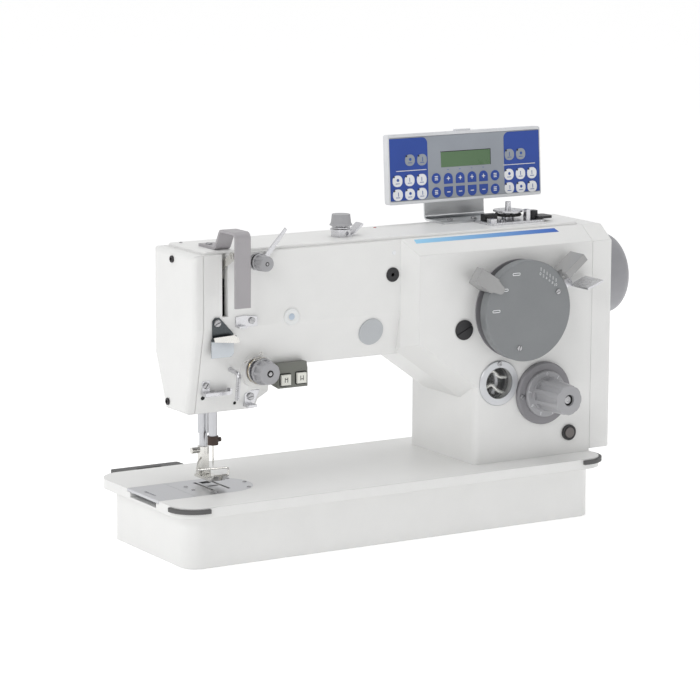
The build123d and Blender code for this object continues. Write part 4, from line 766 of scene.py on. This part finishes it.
dial_numbers = [lettering("d%d" % k, str(k), 4.4, dial_place(90 - 40 * k, 19.8)) for k in range(8)]
piece("dial_numbers", join_meshes("dial_numbers", dial_numbers), PRINT_WHITE, "length_control")


# ---- blue band on the column's bevel ----
def bevel_band():
    """Print on the sloping bevel between the column front and the arm top."""
    start = Vector((0, -57.0, 210.8))
    run = Vector((0, -38.0, 224.8)) - start
    outward = Vector((0, -run.z, run.y)).normalized() * 0.06

    def build(form):
        corners = []
        for x, share in ((40, 0.70), (206, 0.70), (203, 0.93), (40, 0.93)):
            spot = start + run * share
            corners.append(Vector((x, spot.y, spot.z)))
        outer = [form.verts.new((c + outward) * MM) for c in corners]
        inner = [form.verts.new(c * MM) for c in corners]
        form.faces.new(outer)
        form.faces.new(list(reversed(inner)))
        for i in range(4):
            j = (i + 1) % 4
            form.faces.new((outer[i], outer[j], inner[j], inner[i]))
    piece("blue_band", mesh_of("blue_band", build), BAND)


bevel_band()


# ---- small trim on the head ----
def lathe_piece(name, profile, place, direction, material, body=HEAD, steps=48):
    """Turned shape from (radius, height) points in millimetres, standing along direction."""
    points = [(r * MM, d * MM) for r, d in profile]
    mesh = mesh_of(name, lambda form: add_lathe(form, points, facing(place, direction), steps))
    obj = piece(name, mesh, material, body)
    mesh.shade_smooth()
    mesh.set_sharp_from_angle(angle=math.radians(32))
    return obj


def button(radius, low, high, round_off=0.3):
    """Profile of a plain disc from height low to high with a softened edge."""
    return [(0, low), (radius, low), (radius, high - round_off), (radius - round_off, high), (0, high)]


def wire(name, points, radius, material, body=HEAD, per=6):
    path = smooth_path([at(*p) for p in points], per)
    mesh = mesh_of(name, lambda form: add_tube(form, path, radius * MM))
    obj = piece(name, mesh, material, body)
    mesh.shade_smooth()
    mesh.set_sharp_from_angle(angle=math.radians(40))
    return obj


# sight glass: lens, a black disc for the dark interior behind it (partly its black paint, partly painted
# shade) and the linkage seen behind it
lathe_piece("sight_lens", [(0, 0.0), (16.2, 0.0), (16.4, 1.2), (15.3, 2.6), (10.0, 3.8), (0, 4.2)],
            at(SIGHT[0], column_front + 3.0, SIGHT[1]), FRONT, GLASS)
lathe_piece("sight_backing", button(18.0, 0, 2), at(SIGHT[0], column_front + 9.2, SIGHT[1]), FRONT,
            SHADE_AND_BLACK)
wire("sight_link_high", [(116, -51.6, 88), (124, -52, 90), (131, -52, 84), (139, -51.6, 83)], 1.7,
     FINISH["nickel"])
wire("sight_link_low", [(115, -51.6, 74), (122, -52, 77), (129, -52, 71), (136, -51.6, 68)], 1.9,
     FINISH["nickel"])
wire("sight_link_cross", [(125, -51.6, 90), (128, -52, 80), (124, -51.6, 68)], 1.3,
     FINISH["zinc_plate"])

cap_profile = [(0, 0), (8.2, 0), (8.2, 0.9), (7.4, 1.5), (4.6, 1.7), (3.6, 1.2), (3.2, 0.8), (0, 0.7)]
cap_spot = at(WHITE_CAP[0], head_front, WHITE_CAP[1])
lathe_piece("white_cap", cap_profile, cap_spot, FRONT, SHELL_WHITE)
lathe_piece("white_cap_centre", button(3.1, 0.4, 0.9, 0.1), cap_spot, FRONT, CAP_CENTRE)
lathe_piece("arm_dot", button(2.2, 0, 0.6), at(18.5, head_front, 212.7), FRONT, PRINT_WHITE)
lathe_piece("lid_mark", button(1.6, 0, 0.4), at(37, 27, lid_top), UP, RED)
washer = [(5.2, 3.4), (12.5, 3.4), (12.7, 3.6), (12.7, 3.9), (12.5, 4.1), (5.2, 4.1), (5.2, 3.4)]
lathe_piece("brass_tension_ring", washer, at(MAIN_TENSION[0], -31.5, MAIN_TENSION[1]), FRONT, BRASS)

# knob centres: a black disc as painted shade in the centre recess, with a bright screw
KNOB_CENTRES = (("main_knob", MAIN_TENSION, -56.0, 3.4, 1.9, "main_knob"),
                ("pre_knob", FIRST_TENSION, -58.0, 2.0, 1.2, "pre_knob"),
                ("dial", DIAL, -101.0, 6.6, 3.8, "length_control"))
for name, (x, z), y, outer, inner, body in KNOB_CENTRES:
    screw_end = [(0, 0), (inner, 0), (inner, 0.35), (inner * 0.85, 0.5), (inner * 0.45, 0.5),
                 (inner * 0.4, 0.2), (0, 0.2)]
    lathe_piece(name + "_recess", button(outer, -0.6, 0.14, 0.05), at(x, y, z), FRONT, SHADE_AND_BLACK,
                body)
    lathe_piece(name + "_centre", screw_end, at(x, y, z), FRONT, BRIGHT_SCREW, body)
lathe_piece("pre_knob_shadow", button(7.0, 3.4, 5.8, 0.1), at(FIRST_TENSION[0], head_front, FIRST_TENSION[1]),
            FRONT, SHADE_AND_BLACK)

# threaded holes in the head's front, each a black disc just inside the surface as painted shade in the hole
LEAN = Vector((0, -1, -SLANT)).normalized()
for name, x, z, radius in (("hole_left", -181.5, 88.3, 2.0), ("hole_right", -146.5, 80.0, 1.55)):
    lathe_piece(name, button(radius, -0.8, 0.05, 0.02), at(x, slant_y(z), z), LEAN, SHADE_AND_BLACK)

# thread check spring on the main tension
COIL_R = 12.9
coil = [(MAIN_TENSION[0] + COIL_R * math.cos(a), -36.6 - 0.10 * k, MAIN_TENSION[1] + COIL_R * math.sin(a))
        for k, a in enumerate([math.radians(60 + 20 * j) for j in range(20)])]
ring_top = [(-129.0 + 1.5 * math.cos(a), -40.6, 128.4 + 1.5 * math.sin(a))
            for a in [math.radians(230 + 30 * j) for j in range(12)]]
wire("check_spring", coil + [(-137.0, -39.6, 121.5), (-131.5, -40.4, 126.2)] + ring_top, 0.42,
     FINISH["nickel"], per=2)
wire("check_spring_tail", [(-146.5, -40.4, 121.2), (-141.0, -40.6, 123.6), (-133.0, -40.8, 125.4)], 0.42,
     FINISH["nickel"], per=4)

# upper thread guide: bright clamp strip and the clear plate under it
strip = [(-181.6, 148.6), (-160.0, 149.6), (-155.6, 146.4), (-154.6, 142.6), (-157.4, 141.8), (-180.6, 144.4)]
flat_piece("guide_clamp", [(strip, ORIGIN)], Matrix.Translation(at(0, head_front - 7.1, 0)), 0.9,
           FINISH["nickel"])
clear = [(-180.9, 128.1), (-160.4, 128.1), (-157.1, 131.2), (-157.1, 143.5), (-180.9, 143.5)]
flat_piece("guide_clear_plate", [(clear, ORIGIN)], Matrix.Translation(at(0, head_front - 1.2, 0)), 0.3,
           PLATE_TINT)

# rubber tyre of the bobbin winder
tyre = [(10.4, 5.2), (12.6, 5.2), (13.4, 6.0), (13.4, 6.9), (12.6, 7.7), (10.4, 7.7), (10.4, 5.2)]
lathe_piece("winder_tyre", tyre, at(*WINDER, lid_top), UP, FINISH["black_rubber"], "winder")

# black stop block of the winder's latch
flat_piece("latch_stop", [(rounded(14.8, 6.9, 0.5), (152.0, lid_top + 5.8))],
           Matrix.Translation(at(0, 3.3, 0)), 7.6, FINISH["dark_plastic"])

# black frames round the two sewing keys as painted shade in their grooves, with a symbol and two lamps above
key_y = -40.0
groove_shades = []
symbols = []
lamps = []
for index, (x, z) in enumerate(((-102.4, 101.0), (-85.5, 101.7))):
    groove_shades.append((plane_at(x, key_y, z), 12.4, 12.4, 1.6, 1.0))
    symbols += [(rounded(0.7, 4.6, 0.1), (x - 1.4, z)), (rounded(0.7, 4.6, 0.1), (x + 1.4, z))]
    symbols.append((rounded(2.6, 0.7, 0.1), (x, z + 0.9 * (1 - 2 * index))))
    lamps.append((circle(0.7, 16), (x + 0.6, z + 8.2)))
frames("key_grooves", groove_shades, 0.3, SHADE_AND_BLACK)
flat_piece("sewing_key_left_symbol", symbols[:3], Matrix.Translation(at(0, -42.5, 0)), 0.06,
           PRINT_BLACK_AND_SHADE, "left_button")
flat_piece("sewing_key_right_symbol", symbols[3:], Matrix.Translation(at(0, -42.5, 0)), 0.06,
           PRINT_BLACK_AND_SHADE, "right_button")
flat_piece("keypad_lamps", lamps, Matrix.Translation(at(0, -39.5, 0)), 0.4, SHADE_AND_BLACK)


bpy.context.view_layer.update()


# ---- floor ----
def floor():
    mesh = bpy.data.meshes.new("floor")
    low = CAD_BOX[0][2]
    mesh.from_pydata([(-40, -40, low), (40, -40, low), (40, 40, low), (-40, 40, low)], [], [(0, 1, 2, 3)])
    obj = bpy.data.objects.new("floor", mesh)
    bpy.context.scene.collection.objects.link(obj)
    paper = surface("pale_floor", (0.86, 0.86, 0.86), 0.7, mottle=0.01, edge=0.0)
    paper.node_tree.nodes["Principled BSDF"].inputs["Emission Color"].default_value = (1, 1, 1, 1)
    paper.node_tree.nodes["Principled BSDF"].inputs["Emission Strength"].default_value = 0.42
    mesh.materials.append(paper)


floor()
